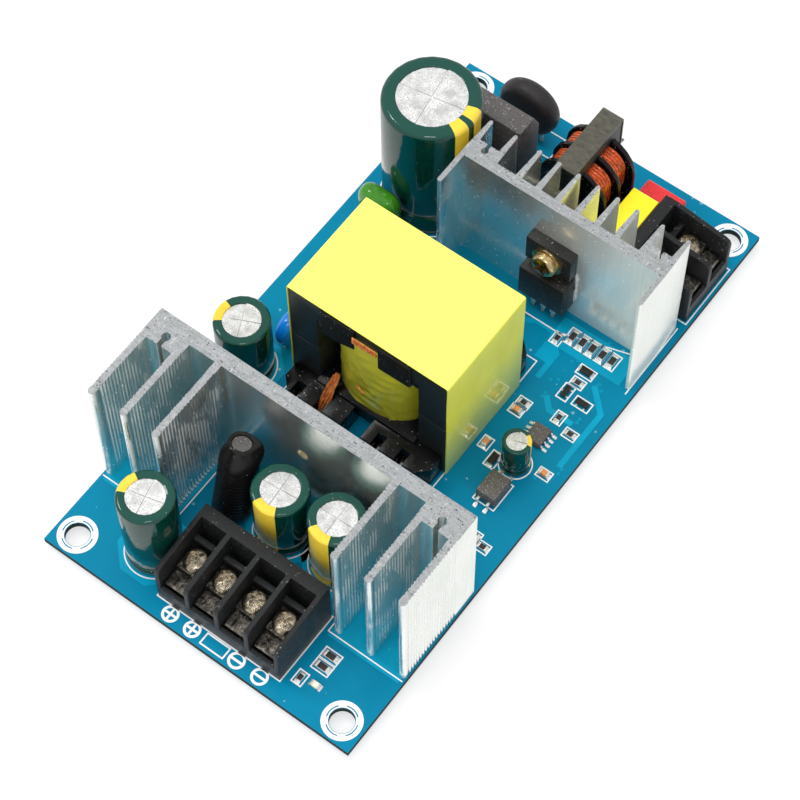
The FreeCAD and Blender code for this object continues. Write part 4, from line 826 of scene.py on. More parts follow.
def finishes():
    """Every material of the part, by its short name."""
    if FINISHES:
        return FINISHES
    tones = colours()
    FINISHES.update(
        board=board_lacquer(), copper_area=copper_lacquer(),
        print=moulded("board_print", tuple(tones.silk), 0.6, 0.3, 0.0, depth=0.004),
        sawn=sawn_aluminium(), drawn=drawn_aluminium(),
        terminal=moulded("terminal_plastic", tuple(tones.plastic), 0.34, 0.28, 0.05,
                         depth=0.06, fleck_tone=(0.3, 0.3, 0.3)),
        nickel=metal("nickel_plate", (0.95, 0.82, 0.62), 0.12, 0.8, 0.05, dark=0.16),
        # dark, deeply streaked metal for the terminal clamps and contacts
        oiled=metal("oiled_steel", (0.5, 0.46, 0.4), 0.16, 1.0, 0.08, dark=0.06),
        brass=metal("yellow_plate", (0.98, 0.74, 0.38), 0.2, 0.9, 0.02, dark=0.4),
        tin=metal("tinned_wire", (0.95, 0.95, 0.95), 0.24, 0.6, dark=0.8, metallic=0.6),
        solder=metal("solder", (0.72, 0.72, 0.73), 0.22, 0.8),
        clip=metal("tin_steel", (0.27, 0.26, 0.215), 0.2, 0.5, 0.012, (1, 0.25, 1), 0.5),
        can=bare_can(),
        # painted shade: the floor of the vent score is painted grey, darker than the can's end
        score=moulded("vent_score", (0.6, 0.6, 0.6), 0.5, fleck=0, depth=0.002),
        sleeve=sleeve_film(((0.5, 0.075),)),
        bulk_sleeve=sleeve_film(((0.4622, 0.026), (0.5378, 0.026))),
        tape=tape_film("core_tape", tuple(tones.tape), 0.03),
        # the winding's tape is a darker, deeper yellow copy of the core tape: a painted shade
        coil_tape=tape_film("coil_tape", linear(228, 220, 74), 0.08),
        # the lead-outs' wire is a copy of the winding enamel painted 1.9 times as light: a
        # painted light
        enamel=wire_enamel("wire_enamel", 0.9), lead_enamel=wire_enamel("lead_enamel", 1.9),
        bobbin=moulded("bobbin_plastic", linear(8, 8, 8), 0.16, 0.25, 0.05,
                       fleck_tone=(0.4, 0.38, 0.35)),
        flap=moulded("black_film", linear(9, 8, 7), 0.6, 0.6, 0.04, depth=0.03),
        ferrite=grey_grain("ferrite", linear(30, 33, 34), (0.13, 0.13, 0.14),
                           linear(16, 18, 19), 0.3, 0.45, 0.08),
        rod_end=grey_grain("rod_end", linear(112, 108, 106), (0.5, 0.5, 0.5),
                           linear(60, 58, 58), 0.25, 0.5, 0.3),
        shrink=moulded("black_shrink", linear(20, 18, 18), 0.16, 0.3, 0.03, depth=0.03,
                       fleck_tone=(0.3, 0.28, 0.28)),
        package=moulded("package", linear(32, 31, 29), 0.32, 0.22, 0.04),
        bridge=grey_grain("bridge_moulding", linear(100, 97, 96), (0.33, 0.31, 0.31),
                          linear(70, 66, 66), 0.28, 0.5, 0.3),
        chip=grey_grain("chip_moulding", linear(108, 104, 100), (0.4, 0.39, 0.37),
                        linear(66, 62, 60), 0.2, 0.5, 0.25),
        disc=moulded("thermistor_coat", linear(40, 38, 39), 0.45, 0.5, depth=0.03),
        # the box's yellow top is a painted light; the orange is the tone of its upright faces
        yellow_box=box_plastic("yellow_box", linear(250, 246, 48), linear(238, 150, 24)),
        red_box=moulded("red_box", linear(214, 50, 54), 0.36, 0.5, depth=0.01,
                        fleck_tone=(0.9, 0.5, 0.5)),
        green_dip=moulded("green_dip", linear(50, 116, 20), 0.1, 1.2, 0.0, 0.5),
        blue_dip=moulded("blue_dip", linear(6, 110, 206), 0.12, 0.8, coat=0.4),
        paste=moulded("thermal_paste", linear(218, 224, 226), 0.42, 0.5, 0.0, depth=0.12),
        ceramic=moulded("chip_ceramic", linear(205, 205, 200), 0.5, 0.3, 0.0, depth=0.004),
        glaze=moulded("resistor_glaze", linear(48, 44, 44), 0.35, 0.3, 0.0, depth=0.006),
        tan=moulded("capacitor_ceramic", linear(208, 138, 88), 0.42, 0.4, 0.0,
                    depth=0.006),
        lamp=moulded("lamp_resin", linear(226, 224, 190), 0.2, 0.5, 0.0, 0.6, 0.004))
    return FINISHES


class PieceOperator:
    """Shared by the operators that make pieces."""
    bl_options = {"REGISTER", "UNDO"}

    def execute(self, context):
        self.make(finishes())
        return {"FINISHED"}


# Board: lacquer, copper areas, print, vias and solder

def strip(form, path, width, low, high, closed=False):
    """A flat line of even width along a path, with mitred corners."""
    path = [Vector(p) for p in path]
    count = len(path)
    points = []
    for number, point in enumerate(path):
        before = path[number - 1] if number or closed else None
        after = path[(number + 1) % count] if number < count - 1 or closed else None
        ways = [(b - a).normalized() for a, b in ((before, point), (point, after))
                if a is not None and b is not None and (b - a).length > 1e-9]
        along = sum(ways, Vector((0, 0))).normalized()
        across = Vector((-along.y, along.x))
        side = Vector((-ways[0].y, ways[0].x))
        reach = across * (width / 2 / max(across.dot(side), 0.3))
        left, right = point + reach, point - reach
        points += [(*left, low), (*right, low), (*right, high), (*left, high)]
    faces = [[i % len(points) for i in face]
             for face in belt(count if closed else count - 1, 4)]
    if not closed:
        last = (count - 1) * 4
        faces += [(0, 1, 2, 3), (last + 3, last + 2, last + 1, last)]
    form.add(points, faces)


def annulus(form, x, y, inner, outer, low, high, steps=48):
    strip(form, arc(x, y, (inner + outer) / 2, steps), outer - inner, low, high, True)


def frame_round(x, y, half_x, half_y, reach):
    """The oblong that runs a reach outside another."""
    return oblong(x, y, half_x + reach, half_y + reach)


MOUNT_X, MOUNT_Y, MOUNT_HOLE, MOUNT_RING = 70.25, 34.45, 2.7, 4.33
COPPER_THICK, COPPER_REACH, LANE_WIDTH, PRINT_RISE = 0.035, 8.4, 1.3, 0.055
# each film lies a little lower or higher than the one that it crosses
FILM_STEP = 0.004
COPPER_LANES = (
    ((22.4, -9.6), (26.6, -9.6), (28.4, -12.5), (28.4, -16.5), (24.0, -20.5), (17.0, -20.5)),
    ((14.6, -24.6), (12.0, -27.0), (12.0, -33.0)),
    ((22.5, -31.5), (17.5, -36.6), (2.0, -36.6)),
    ((-25.5, -25.0), (-22.0, -28.5), (-22.0, -33.0)),
)
COPPER_AREAS = (
    ((-57.2, 20.8), (-57.2, 38.6), (-37.0, 38.6), (-37.0, 20.8)),
    ((-37.0, -20.8), (-37.0, -38.6), (-57.2, -38.6), (-57.2, -20.8)),
    ((21.0, -16.8), (32.8, -16.8), (32.8, -35.6), (25.6, -35.6), (25.6, -20.0),
     (21.0, -20.0)),
)
VIA_PLACES = ((-11.2, 28.1), (-12.0, 27.3), (-12.9, 26.3), (13.9, -24.0), (14.9, -24.0),
              (18.2, -23.1), (19.2, -24.4), (14.0, -33.6), (13.0, -33.6), (22.3, -33.4),
              (23.4, -32.2), (-1.9, -24.9), (-3.1, -34.0), (24.6, -24.2), (25.5, -25.2),
              (1.9, -37.4), (0.7, -37.4), (-24.0, -24.0), (-25.2, -24.0), (33.1, -28.2))
PRINT_FRAMES = (("output_terminal_body", 0.15), ("input_terminal_body", 0.5),
                ("transformer_bobbin", 0.7), ("bridge_rectifier_body", 0.6),
                ("choke_bobbin", 0.8), ("filter_capacitor_body", 0.35), ("fuse_body", 0.4),
                ("film_capacitor_body", 0.5), ("thermistor_disc", 0.6),
                ("optocoupler_body", 0.35))
PRINT_RINGS = ("output_capacitor_sleeves", "bulk_capacitor_sleeve", "supply_capacitor_sleeve")
SMALL_FRAMES = ("surface_resistors", "surface_capacitors", "surface_transistors",
                "surface_diodes")
POLES = ((-73.0, 7.7, True), (-72.7, 2.0, True), (-73.0, -9.5, False), (-73.0, -15.4, False))
# every soldered node, with the width that its joints are made for where a lead is bent
# above the board
SOLDERED = (("heatsink_pins", None), ("output_rectifier_leads", 0.9),
            ("switching_transistor_leads", 0.9), ("transformer_pins", None),
            ("capacitor_leads", None), ("bridge_rectifier_leads", 0.9), ("choke_pins", None),
            ("small_part_leads", None))


class PSU_OT_board(PieceOperator, bpy.types.Operator):
    """Finish the board: lacquer, copper areas, white print and vias"""
    bl_idname = "psu.board"
    bl_label = "Circuit board"

    def make(self, f):
        repaint("circuit_board", f["board"])
        self.copper(f)
        self.print(f)
        ring = Form()
        annulus(ring, 0, 0, 0.14, 0.36, 0, 0.05, 12)
        vias = place_copies("board_vias", ring, [(x, y, BOARD_TOP, 1) for x, y in VIA_PLACES],
                            f["copper_area"])
        keep(vias, "board")

    def copper(self, f):
        form = Form()
        low, high = BOARD_TOP, BOARD_TOP + COPPER_THICK
        for middle, _ in spots("output_capacitor_sleeves"):
            form.prism(arc(middle.x, middle.y, COPPER_REACH, 8, math.pi / 8), low, high)
        for number, lane in enumerate(COPPER_LANES):
            strip(form, lane, LANE_WIDTH, low, high + FILM_STEP + 0.003 * number)
        for area in COPPER_AREAS:
            form.prism(area, low, high)
        keep(form.piece("board_copper_areas", [f["copper_area"]]), "board")

    def print(self, f):
        form = Form()
        width = sizes().print_width / MM
        low, high = BOARD_TOP, BOARD_TOP + PRINT_RISE + sizes().print_height / MM

        def line(path, closed=True, share=1.0):
            strip(form, path, width * share, low, high, closed)

        for x in (-MOUNT_X, MOUNT_X):
            for y in (-MOUNT_Y, MOUNT_Y):
                self.mount_ring(form, x, y, low, high)
        for node, reach in PRINT_FRAMES:
            line(frame_round(*footprint(node), reach))
        for node in PRINT_RINGS:
            for middle, half in spots(node):
                line(arc(middle.x, middle.y, half.x + 0.45, 56))
        for node in SMALL_FRAMES:
            for middle, half in spots(node):
                line(frame_round(*middle.xy, *half.xy, 0.55))
        self.heatsink_lines(line)
        for x, y, plus in POLES:
            x = max(x, -BOARD_HALF_X + 2.35)
            line(arc(x, y, 1.62, 40), share=2.1)
            long, thick = 1.6, width * 0.95
            form.box((x - thick, y - long, low), (x + thick, y + long, high - FILM_STEP))
            if plus:
                form.box((x - long, y - thick, low),
                         (x + long, y + thick, high - 2 * FILM_STEP))
        near, far = extent("output_terminal_body")[0].x - 0.55, -BOARD_HALF_X + 0.95
        line(oblong((near + far) / 2, -4.0, (near - far) / 2, 2.9), share=1.2)
        keep(form.piece("board_print", [f["print"]]), "board")

    def mount_ring(self, form, x, y, low, high):
        """White ring with four thin arcs of bare board in it."""
        inner, outer = 3.12, 3.4
        annulus(form, x, y, MOUNT_HOLE + 0.12, inner, low, high)
        annulus(form, x, y, outer, MOUNT_RING, low, high)
        for bridge in range(4):
            start = math.tau * bridge / 4 + math.radians(20)
            strip(form, arc(x, y, (inner + outer) / 2, 8, start, math.radians(30)),
                  outer - inner + 0.02, low, high - FILM_STEP)

    def heatsink_lines(self, line):
        """Open lines beside the fins of both heatsinks."""
        reach = 0.6
        low, high = extent("output_heatsink")
        for side in (-1, 1):
            inner, outer = 20.4 * side, (high.y - 0.1) * side
            line([(-36.5, inner), (low.x - reach, inner), (low.x - reach, outer)], False)
        low, high = extent("primary_heatsink")
        line([(33.6, low.y - reach + 4.6), (28.6, -17.4), (28.6, high.y + reach),
              (33.6, high.y + reach)], False)
        line([(24.7, low.y - 0.05), (44.9, low.y - 0.05)], False)


class PSU_OT_solder(PieceOperator, bpy.types.Operator):
    """Put a solder joint under the board round every lead"""
    bl_idname = "psu.solder"
    bl_label = "Solder joints"

    def make(self, f):
        places = [(middle.x, middle.y, BOARD_FOOT,
                   0.62 + (wide or 2 * max(half.xy)) * 0.42)
                  for node, wide in SOLDERED for middle, half in spots(node)]
        height = sizes().joint_height / MM
        joint = Form()
        joint.lathe([(0, 0.0), (1.35, 0.0), (1.3, -0.07), (0.95, -0.16), (0.62, -0.42),
                     (0.45, -0.75), (0.3, -height), (0, -height - 0.05)], 14)
        keep(place_copies("solder_joints", joint, places, f["solder"], math.tau, 3), "board")


# Heatsinks: an extruded outline, with ribbed fins on the output heatsink

RIB_PROFILE = ((0.0, 0), (0.2, 0.75), (0.42, 1), (0.64, 0.75), (0.84, 0))


def ribbed(start, end, inward, plain=2.2):
    """Points along one side of a fin, grooved between a plain root and its tip."""
    pitch, depth = sizes().rib_pitch / MM, sizes().rib_depth / MM
    start, end, inward = Vector(start), Vector(end), Vector((0, inward))
    way, span = (end - start).normalized(), (end - start).length
    before, behind = (plain, 0.2) if end.x < start.x else (0.5, plain)
    points = [start]
    for number in range(int((span - plain) / pitch)):
        run = before + pitch * number
        if run + pitch > span - behind:
            break
        points += [start + way * (run + pitch * share) + inward * (depth * sunk)
                   for share, sunk in RIB_PROFILE]
    return points + [end]


def keyway(x, y, radius, slot, steps, start):
    """The round wall of an open keyway, from one lip of its slot to the other."""
    opening = math.asin(slot / 2 / radius)
    return arc(x, y, radius, steps, start + opening, math.tau - 2 * opening)


def output_sink_outline(low, high):
    """The +Y half of the extrusion's outline, from the wall's middle outwards."""
    wall, block_depth, fin, fin_pitch, slot, lip = 3.4, 3.7, 1.7, 8.15, 1.1, 0.3
    front = high.x - wall
    block, tip, last = front - block_depth, low.x + fin / 2, high.y - fin / 2
    roots = ((front, front), (front, block), (block, high.x))
    outline = [(front, 0)]
    for number, (in_root, out_root) in enumerate(roots):
        centre = last - fin_pitch * (2 - number)
        near, far = centre - fin / 2, centre + fin / 2
        outline += ribbed((in_root, near), (tip, near), 1)
        outline += arc(tip, centre, fin / 2, 8, -math.pi / 2, -math.pi)[1:-1]
        outline += ribbed((tip, far), (out_root, far), -1, 2.2 if number < 2 else 5.6)
        if number == 1:
            key_y = last - fin_pitch / 2
            mouth = [(block, slot / 2 + lip), (block + lip * 0.3, slot / 2 + lip * 0.3),
                     (block + lip, slot / 2)]
            outline += [(x, key_y - y) for x, y in mouth]
            outline += keyway(front - 1.35, key_y, 1.0, slot, 20, math.pi)
            outline += [(x, key_y + y) for x, y in reversed(mouth)]
    return outline + [(high.x, 0)]


def primary_sink_outline(low, high):
    """The +Y half of the primary extrusion, measured from its own middle."""
    fins = ((24.85, True, False), (18.5, False, True), (12.25, False, False),
            (7.35, False, False), (2.45, False, False))
    flange, root, tip, slot = 1.1, 0.75, 0.45, 0.9
    face = low.x + 8.3
    back = face + 2.4
    block = back + 2.7
    half = (high.y - low.y) / 2
    outline = [(face, 0), (face, half - flange), (low.x + 0.4, half - flange),
               (low.x, half - 0.8), (low.x, half - 0.3), (low.x + 0.3, half)]
    for centre, block_inside, block_outside in fins:
        outline.append((block if block_outside else back, min(centre + root, half)))
        outline += arc(high.x - tip, centre, tip, 6, math.pi / 2, -math.pi)
        outline.append((block if block_inside else back, centre - root))
        if block_inside:
            key_y = (fins[0][0] + fins[1][0]) / 2
            outline.append((block, key_y + slot / 2))
            outline += keyway(back + 1.0, key_y, 0.8, slot, 18, 0)
            outline.append((block, key_y - slot / 2))
    return outline + [(back, 0)]


def mirrored(outline, middle):
    """The whole outline from its +Y half, turned about a line through the middle."""
    whole = [(x, y + middle) for x, y in outline]
    whole += [(x, middle - y) for x, y in reversed(outline[1:-1])]
    clean = whole[:1]
    for point in whole[1:]:
        if math.dist(point, clean[-1]) > 1e-4:
            clean.append(point)
    return clean


class PSU_OT_heatsinks(PieceOperator, bpy.types.Operator):
    """Make both heatsinks with keyways and screw holes, the output one with ribbed fins"""
    bl_idname = "psu.heatsinks"
    bl_label = "Heatsinks"

    def make(self, f):
        for node, outline_of, package, side in (
                ("output_heatsink", output_sink_outline, "output_rectifier_body", 1),
                ("primary_heatsink", primary_sink_outline, "switching_transistor_body", -1)):
            low, high = extent(node)
            form, hole, bore, reach = Form(), Form(), 1.47, 8
            form.prism(mirrored(outline_of(low, high), (low.y + high.y) / 2), low.z, high.z, 0,
                       1)
            item = form.piece(node + "_finished", [f["drawn"], f["sawn"]], 40)
            x, y = footprint(package)[:2]
            hole.lathe([(0, -reach), (bore, -reach), (bore, reach), (0, reach)], 32,
                       Matrix.Translation((x - 6 * side, y, BOARD_TOP + 20))
                       @ Matrix.Rotation(math.pi / 2, 4, "Y"))
            cut(item, hole)
            keep(smooth(item, 40), "extruded_aluminium", node)


# Electrolytic capacitors

# both nodes and the names of their pieces, finish, disc share, height and depth of the bead,
# then for each one the way that its band faces and the way that its score lies
CAPACITORS = (
    ("output_capacitor_sleeves", "output_capacitor_cans", "output_sleeves", "output_cans",
     "sleeve", 0.97, 2.6, 0.45, ((88, 13.7), (180, 5), (173, 2), (100, 25))),
    ("bulk_capacitor_sleeve", "bulk_capacitor_can", "bulk_capacitor_film",
     "bulk_capacitor_end", "bulk_sleeve", 1.03, 6.2, 0.7, ((-94, 9.6),)),
    ("supply_capacitor_sleeve", "supply_capacitor_can", "supply_capacitor_film",
     "supply_capacitor_end", "sleeve", 1.03, 1.6, 0.25, ((-52, 20),)),
)


class PSU_OT_capacitors(PieceOperator, bpy.types.Operator):
    """Make the electrolytic capacitors: beaded sleeve, folded rim and scored disc"""
    bl_idname = "psu.capacitors"
    bl_label = "Electrolytic capacitors"

    def make(self, f):
        for sleeve, can, film, end, finish_name, share, bead, depth, turns in CAPACITORS:
            cans, sleeves = Form(), Form()
            for (low, high), (band, cross) in zip(lumps(sleeve), turns):
                self.one(cans, sleeves, low, high, sizes().disc_share * share, band - 180,
                         cross, bead, depth)
            keep(sleeves.piece(film, [f[finish_name]], 50), "green_sleeve", sleeve)
            keep(cans.piece(end, [f["can"], f["score"]], 20), "can_aluminium", can)

    def one(self, cans, sleeves, low, high, share, turn, cross, bead, depth):
        radius, height = (high.x - low.x) / 2, high.z - low.z
        disc, shoulder, bead_half = radius * share, radius * 0.13, 0.75
        fold = shoulder * 0.25
        turned = math.radians(turn)
        place = Matrix.Translation(((low.x + high.x) / 2, (low.y + high.y) / 2, low.z)) \
            @ Matrix.Rotation(turned, 4, "Z")
        side = [(disc, 0.0), (radius - 0.5, 0.0), (radius - 0.12, 0.12), (radius, 0.5)]
        side += [(radius - depth * (0.5 + 0.5 * math.cos(math.pi * k / 4)),
                  bead + bead_half * k / 4) for k in range(-4, 5)]
        side.append((radius, height * 0.5))
        side += arc(radius - shoulder, height - shoulder, shoulder, 6, 0, math.pi / 2)
        side += [(disc + fold, height - 0.03), (disc + fold * 0.3, height - 0.1),
                 (disc, height - 0.3), (disc, height - 0.6)]

        def crimp(angle, r, z):
            return (r - 0.035 * math.sin(angle * 23) * (z > height - shoulder)
                    * (r < radius - 0.1), z)

        sleeves.lathe(side, 96, place, bend=crimp)
        self.disc(cans, place, disc + 0.06, height, math.radians(cross) - turned)

    def disc(self, cans, place, radius, height, cross):
        """Four raised quarters with the vent score between them."""
        floor, top, gap = height - 0.5, height - 0.22, 0.05 + radius * 0.009
        # the floor under the quarters, seen in the score, takes the grey second finish: a
        # painted shade
        cans.lathe([(0, 0.4), (radius, 0.4), (radius, floor), (0, floor)], 64, place, 1)
        first = math.asin(gap / radius)
        outline = [(gap, gap)] + arc(0, 0, radius, 16, first, math.pi / 2 - 2 * first)
        for number in range(4):
            quarter = Form()
            quarter.prism(outline, floor - 0.02, top)
            tilt = 0.13 / radius * (1 if number % 2 else -1)
            for point in quarter.points:
                if point.z > floor:
                    point.z += (point.x + point.y) * tilt
            cans.join(quarter, place @ Matrix.Rotation(number * math.pi / 2 + cross, 4, "Z"))


# Screw terminals and heatsink screws

def screw_form(head, height, shank, depth, washer=0.0, washer_height=0.0):
    """A pan head screw with its head's top at zero."""
    low, pitch, core = -height, 0.7, shank * 0.82
    profile = [(0, -depth), (shank * 0.6, -depth)]
    for turn in range(int((depth - height - washer_height) / pitch)):
        base = -depth + 0.3 + turn * pitch
        profile += [(core, base), (shank, base + pitch / 2)]
    profile += [(core, low - washer_height)]
    if washer:
        profile += [(washer, low - washer_height), (washer, low - 0.1), (head - 0.1, low)]
    profile += [(head, low), (head, low * 0.55), (head * 0.94, low * 0.3),
                (head * 0.8, low * 0.12), (head * 0.55, low * 0.03), (0, 0)]
    form = Form()
    form.lathe(profile, 40)
    return form


def cut_screw(form, length, width, depth, material):
    """The screw with a cross recess in its head, as a form again."""
    item = form.piece("screw", [material])
    for one, other in ((length, width), (width, length)):
        slot = Form()
        slot.prism(oblong(0, 0, one / 2, other / 2), -depth, 1)
        cut(item, slot)
    ready = Form()
    ready.add([v.co / MM for v in item.data.vertices],
              [p.vertices for p in item.data.polygons])
    bpy.data.objects.remove(item)
    return ready


class PSU_OT_terminals(PieceOperator, bpy.types.Operator):
    """Finish the terminal blocks and their clamps, and make the screws"""
    bl_idname = "psu.terminals"
    bl_label = "Screw terminals"

    def make(self, f):
        dress_all(f, ("terminal", "terminal_plastic", 0.16, 2, "output_terminal_body",
                      "input_terminal_body"),
                  ("oiled", "terminal_brass", 0.16, 3, "terminal_contacts"),
                  ("oiled", "plated_steel", 0.2, 3, "terminal_clamps"))
        screws = lumps("terminal_screws")
        low, high = screws[0]
        form = screw_form((high.x - low.x) / 2, 2.0, 1.7, high.z - low.z)
        ready = cut_screw(form, 3.7, 0.85, 1.05, f["nickel"])
        places = [((a.x + b.x) / 2, (a.y + b.y) / 2, b.z, 1.0) for a, b in screws]
        keep(place_copies("terminal_screws_finished", ready, places, f["nickel"], math.pi / 2,
                          5), "plated_steel", "terminal_screws")


class PSU_OT_sink_screws(PieceOperator, bpy.types.Operator):
    """Make the two screws that hold the packages on the heatsinks"""
    bl_idname = "psu.sink_screws"
    bl_label = "Heatsink screws"

    def make(self, f):
        whole = Form()
        for (low, high), side in zip(lumps("heatsink_screws"), (1, -1)):
            form = screw_form(3.0, 2.1, 1.45, high.x - low.x, 3.7, 0.6)
            ready = cut_screw(form, 3.6, 0.8, 1.1, f["brass"])
            head_x = high.x if side > 0 else low.x
            whole.join(ready, Matrix.Translation((head_x, (low.y + high.y) / 2,
                                                  (low.z + high.z) / 2))
                       @ Matrix.Rotation(math.pi / 2 * side, 4, "Y")
                       @ Matrix.Rotation(math.radians(28), 4, "Z"))
        keep(whole.piece("heatsink_screws_finished", [f["brass"]]), "plated_steel",
             "heatsink_screws")


# Transformer

class PSU_OT_transformer(PieceOperator, bpy.types.Operator):
    """Finish the transformer: core, taped winding, bobbin, tape and copper lead-outs"""
    bl_idname = "psu.transformer"
    bl_label = "Transformer"

    def make(self, f):
        dress_all(f, ("ferrite", "ferrite", 0.2, 2, "transformer_lower_core",
                      "transformer_upper_core"),
                  ("bobbin", "bobbin_plastic", 0.14, 2, "transformer_bobbin"))
        self.winding(f)
        self.tape(f)
        self.lead_outs(f)

    def winding(self, f):
        low, high = extent("transformer_winding")
        middle = (low + high) / 2
        radius, height = (high.x - low.x) / 2, high.z - low.z
        bulge, power, inner, steps = 1.45, 2.5, 7.9, 34

        def wrinkle(angle, r, z):
            if r < radius - 0.7:
                return r, z
            square = (abs(math.cos(angle) / (radius + bulge)) ** power
                      + abs(math.sin(angle) / radius) ** power) ** (-1 / power)
            square -= radius - r
            way = angle - math.radians(190)
            slant = z / height - 0.45
            fold = math.exp(-((way * 3.2 - slant * 2.4) / 0.4) ** 2)
            crease = math.exp(-((way * 3.4 + slant * 3.0 + 0.5) / 0.12) ** 2) \
                * (z < height * 0.6)
            ripple = math.sin(z * 2.1 + angle * 5.0) * 0.2 * fold
            fine = noise.noise(Vector((math.cos(angle) * 4, math.sin(angle) * 4, z * 0.5)))
            return square - 0.35 + ripple + crease * 0.35 + fine * 0.14, z

        form = Form()
        profile = [(inner, 0.0), (radius - 0.6, 0.0)]
        profile += [(radius, height * k / steps) for k in range(steps + 1)]
        profile += [(radius - 0.6, height), (inner, height), (inner, 0.0)]
        form.lathe(profile, 140, Matrix.Translation((middle.x, middle.y, low.z)),
                   bend=wrinkle)
        front, patch_y, patch_half = middle.x - radius - bulge + 0.4, 1.57, 3.2
        form.box((front, patch_y - patch_half, high.z - 1.0),
                 (front + 0.5, patch_y + patch_half, high.z + 4.0))
        keep(form.piece("transformer_winding_finished", [f["coil_tape"]], 60),
             "winding_copper", "transformer_winding")
        flat, flaps = Form(), Form()
        flat.prism([(4.5, 29.4), (8.0, 28.2), (13.0, 27.4), (13.0, 36.2), (4.5, 36.2)], 0,
                   0.9)
        flat.prism([(-9.6, 28.7), (-1.5, 28.3), (-1.5, 36.2), (-9.6, 36.2)], 0, 1.0)
        flaps.join(flat, Matrix.Translation((front + 0.7, 0, BOARD_TOP))
                   @ Matrix(((0, 0, -1, 0), (1, 0, 0, 0), (0, 1, 0, 0), (0, 0, 0, 1))))
        keep(flaps.piece("transformer_flaps", [f["flap"]], 35, 0.25, 3), "bobbin_plastic")

    def tape(self, f):
        """A sheet up one side of the core, across its top and down the other side."""
        low, high = extent("transformer_core_tape")
        thick, bend, rises, spans, columns = 0.25, 0.5, 26, 22, 18
        up = [(low.y, low.z + (high.z - bend - low.z) * k / rises) for k in range(rises + 1)]
        up += [(low.y + bend - bend * math.cos(math.radians(a)),
                high.z - bend + bend * math.sin(math.radians(a))) for a in (22, 45, 67)]
        path = up + [(low.y + bend + (high.y - low.y - 2 * bend) * k / spans, high.z)
                     for k in range(spans + 1)]
        path += [(low.y + high.y - y, z) for y, z in reversed(up)]

        def lift(x, y, z):
            """How far the tape stands off the core, most on the lower sides."""
            if z >= high.z - 2:
                return 0
            wave = noise.noise(Vector((x * 0.16, y, z * 0.09))) * 0.16
            return (max(min(wave, 0.1), -0.1) + 0.1) * min((high.z - 2 - z) / 6, 1)

        points = []
        for depth in (0.0, thick):
            for y, z in path:
                in_y = depth if y < low.y + 0.4 else -depth if y > high.y - 0.4 else 0
                in_z = -depth if z > high.z - 0.4 else 0
                side = 1 if y < 0 else -1
                for column in range(columns + 1):
                    x = low.x + (high.x - low.x) * column / columns
                    points.append((x, y + in_y + lift(x, y, z) * 0.4 * side, z + in_z))
        wide = columns + 1
        layer = wide * len(path)
        faces = []
        for row in range(len(path) - 1):
            for a in range(row * wide, row * wide + columns):
                faces.append((a, a + 1, a + 1 + wide, a + wide))
                faces.append((layer + a + wide, layer + a + wide + 1, layer + a + 1, layer + a))
            faces += [(a, a + wide, layer + a + wide, layer + a)
                      for a in (row * wide, row * wide + columns)]
        for first in (0, layer - wide):
            faces += [(a, a + 1, layer + a + 1, layer + a)
                      for a in range(first, first + columns)]
        form = Form()
        form.add(points, faces)
        keep(form.piece("transformer_core_tape_finished", [f["tape"]], 50), "yellow_tape",
             "transformer_core_tape")

    def lead_outs(self, f):
        """Twisted strands from the pins, and flat turns that cross above them."""
        (low, high), (flat_low, flat_high) = sorted(lumps("transformer_lead_outs"),
                                                    key=lambda pair: pair[0].z)
        form = Form()
        y = (low.y + high.y) / 2
        spine = [(low.x + 1.0 + x, low.z + z)
                 for x, z in ((0, 0), (0.5, 1.8), (1.7, 3.6), (3.4, 5.6), (5.6, 7.6))]
        strands, twist, steps = 9, 0.2, 40
        for strand in range(strands):
            path = []
            for k in range(steps + 1):
                run = k / steps * (len(spine) - 1)
                i = min(int(run), len(spine) - 2)
                t = run - i
                x, z = (a * (1 - t) + b * t for a, b in zip(spine[i], spine[i + 1]))
                around = math.tau * (strand / strands + twist * k / steps)
                reach = (1.1 if strand else 0.0) * (1 - 0.4 * abs(2 * k / steps - 0.9))
                path.append((x + reach * math.cos(around) * 0.7, y + reach * math.sin(around),
                             z + reach * math.cos(around) * 0.45))
            form.tube(path, 0.24, 6)
        for k in range(3):
            z = flat_high.z - 0.2 + 0.8 * k
            form.tube([(flat_low.x + 0.1 + 0.02 * k,
                        flat_low.y + (flat_high.y - flat_low.y) * s / 8,
                        z - 0.25 * (s / 8 - 0.5)) for s in range(9)], 0.2, 8)
        form.tube([(flat_low.x - 0.2, 3.6, BOARD_TOP + 16.6),
                   (flat_low.x - 0.35, 2.6, BOARD_TOP + 16.1),
                   (flat_low.x - 0.3, 1.8, BOARD_TOP + 15.2)], 0.22, 6)
        keep(form.piece("transformer_lead_outs_finished", [f["lead_enamel"]], 60),
             "winding_copper", "transformer_lead_outs")


# Packages and chips

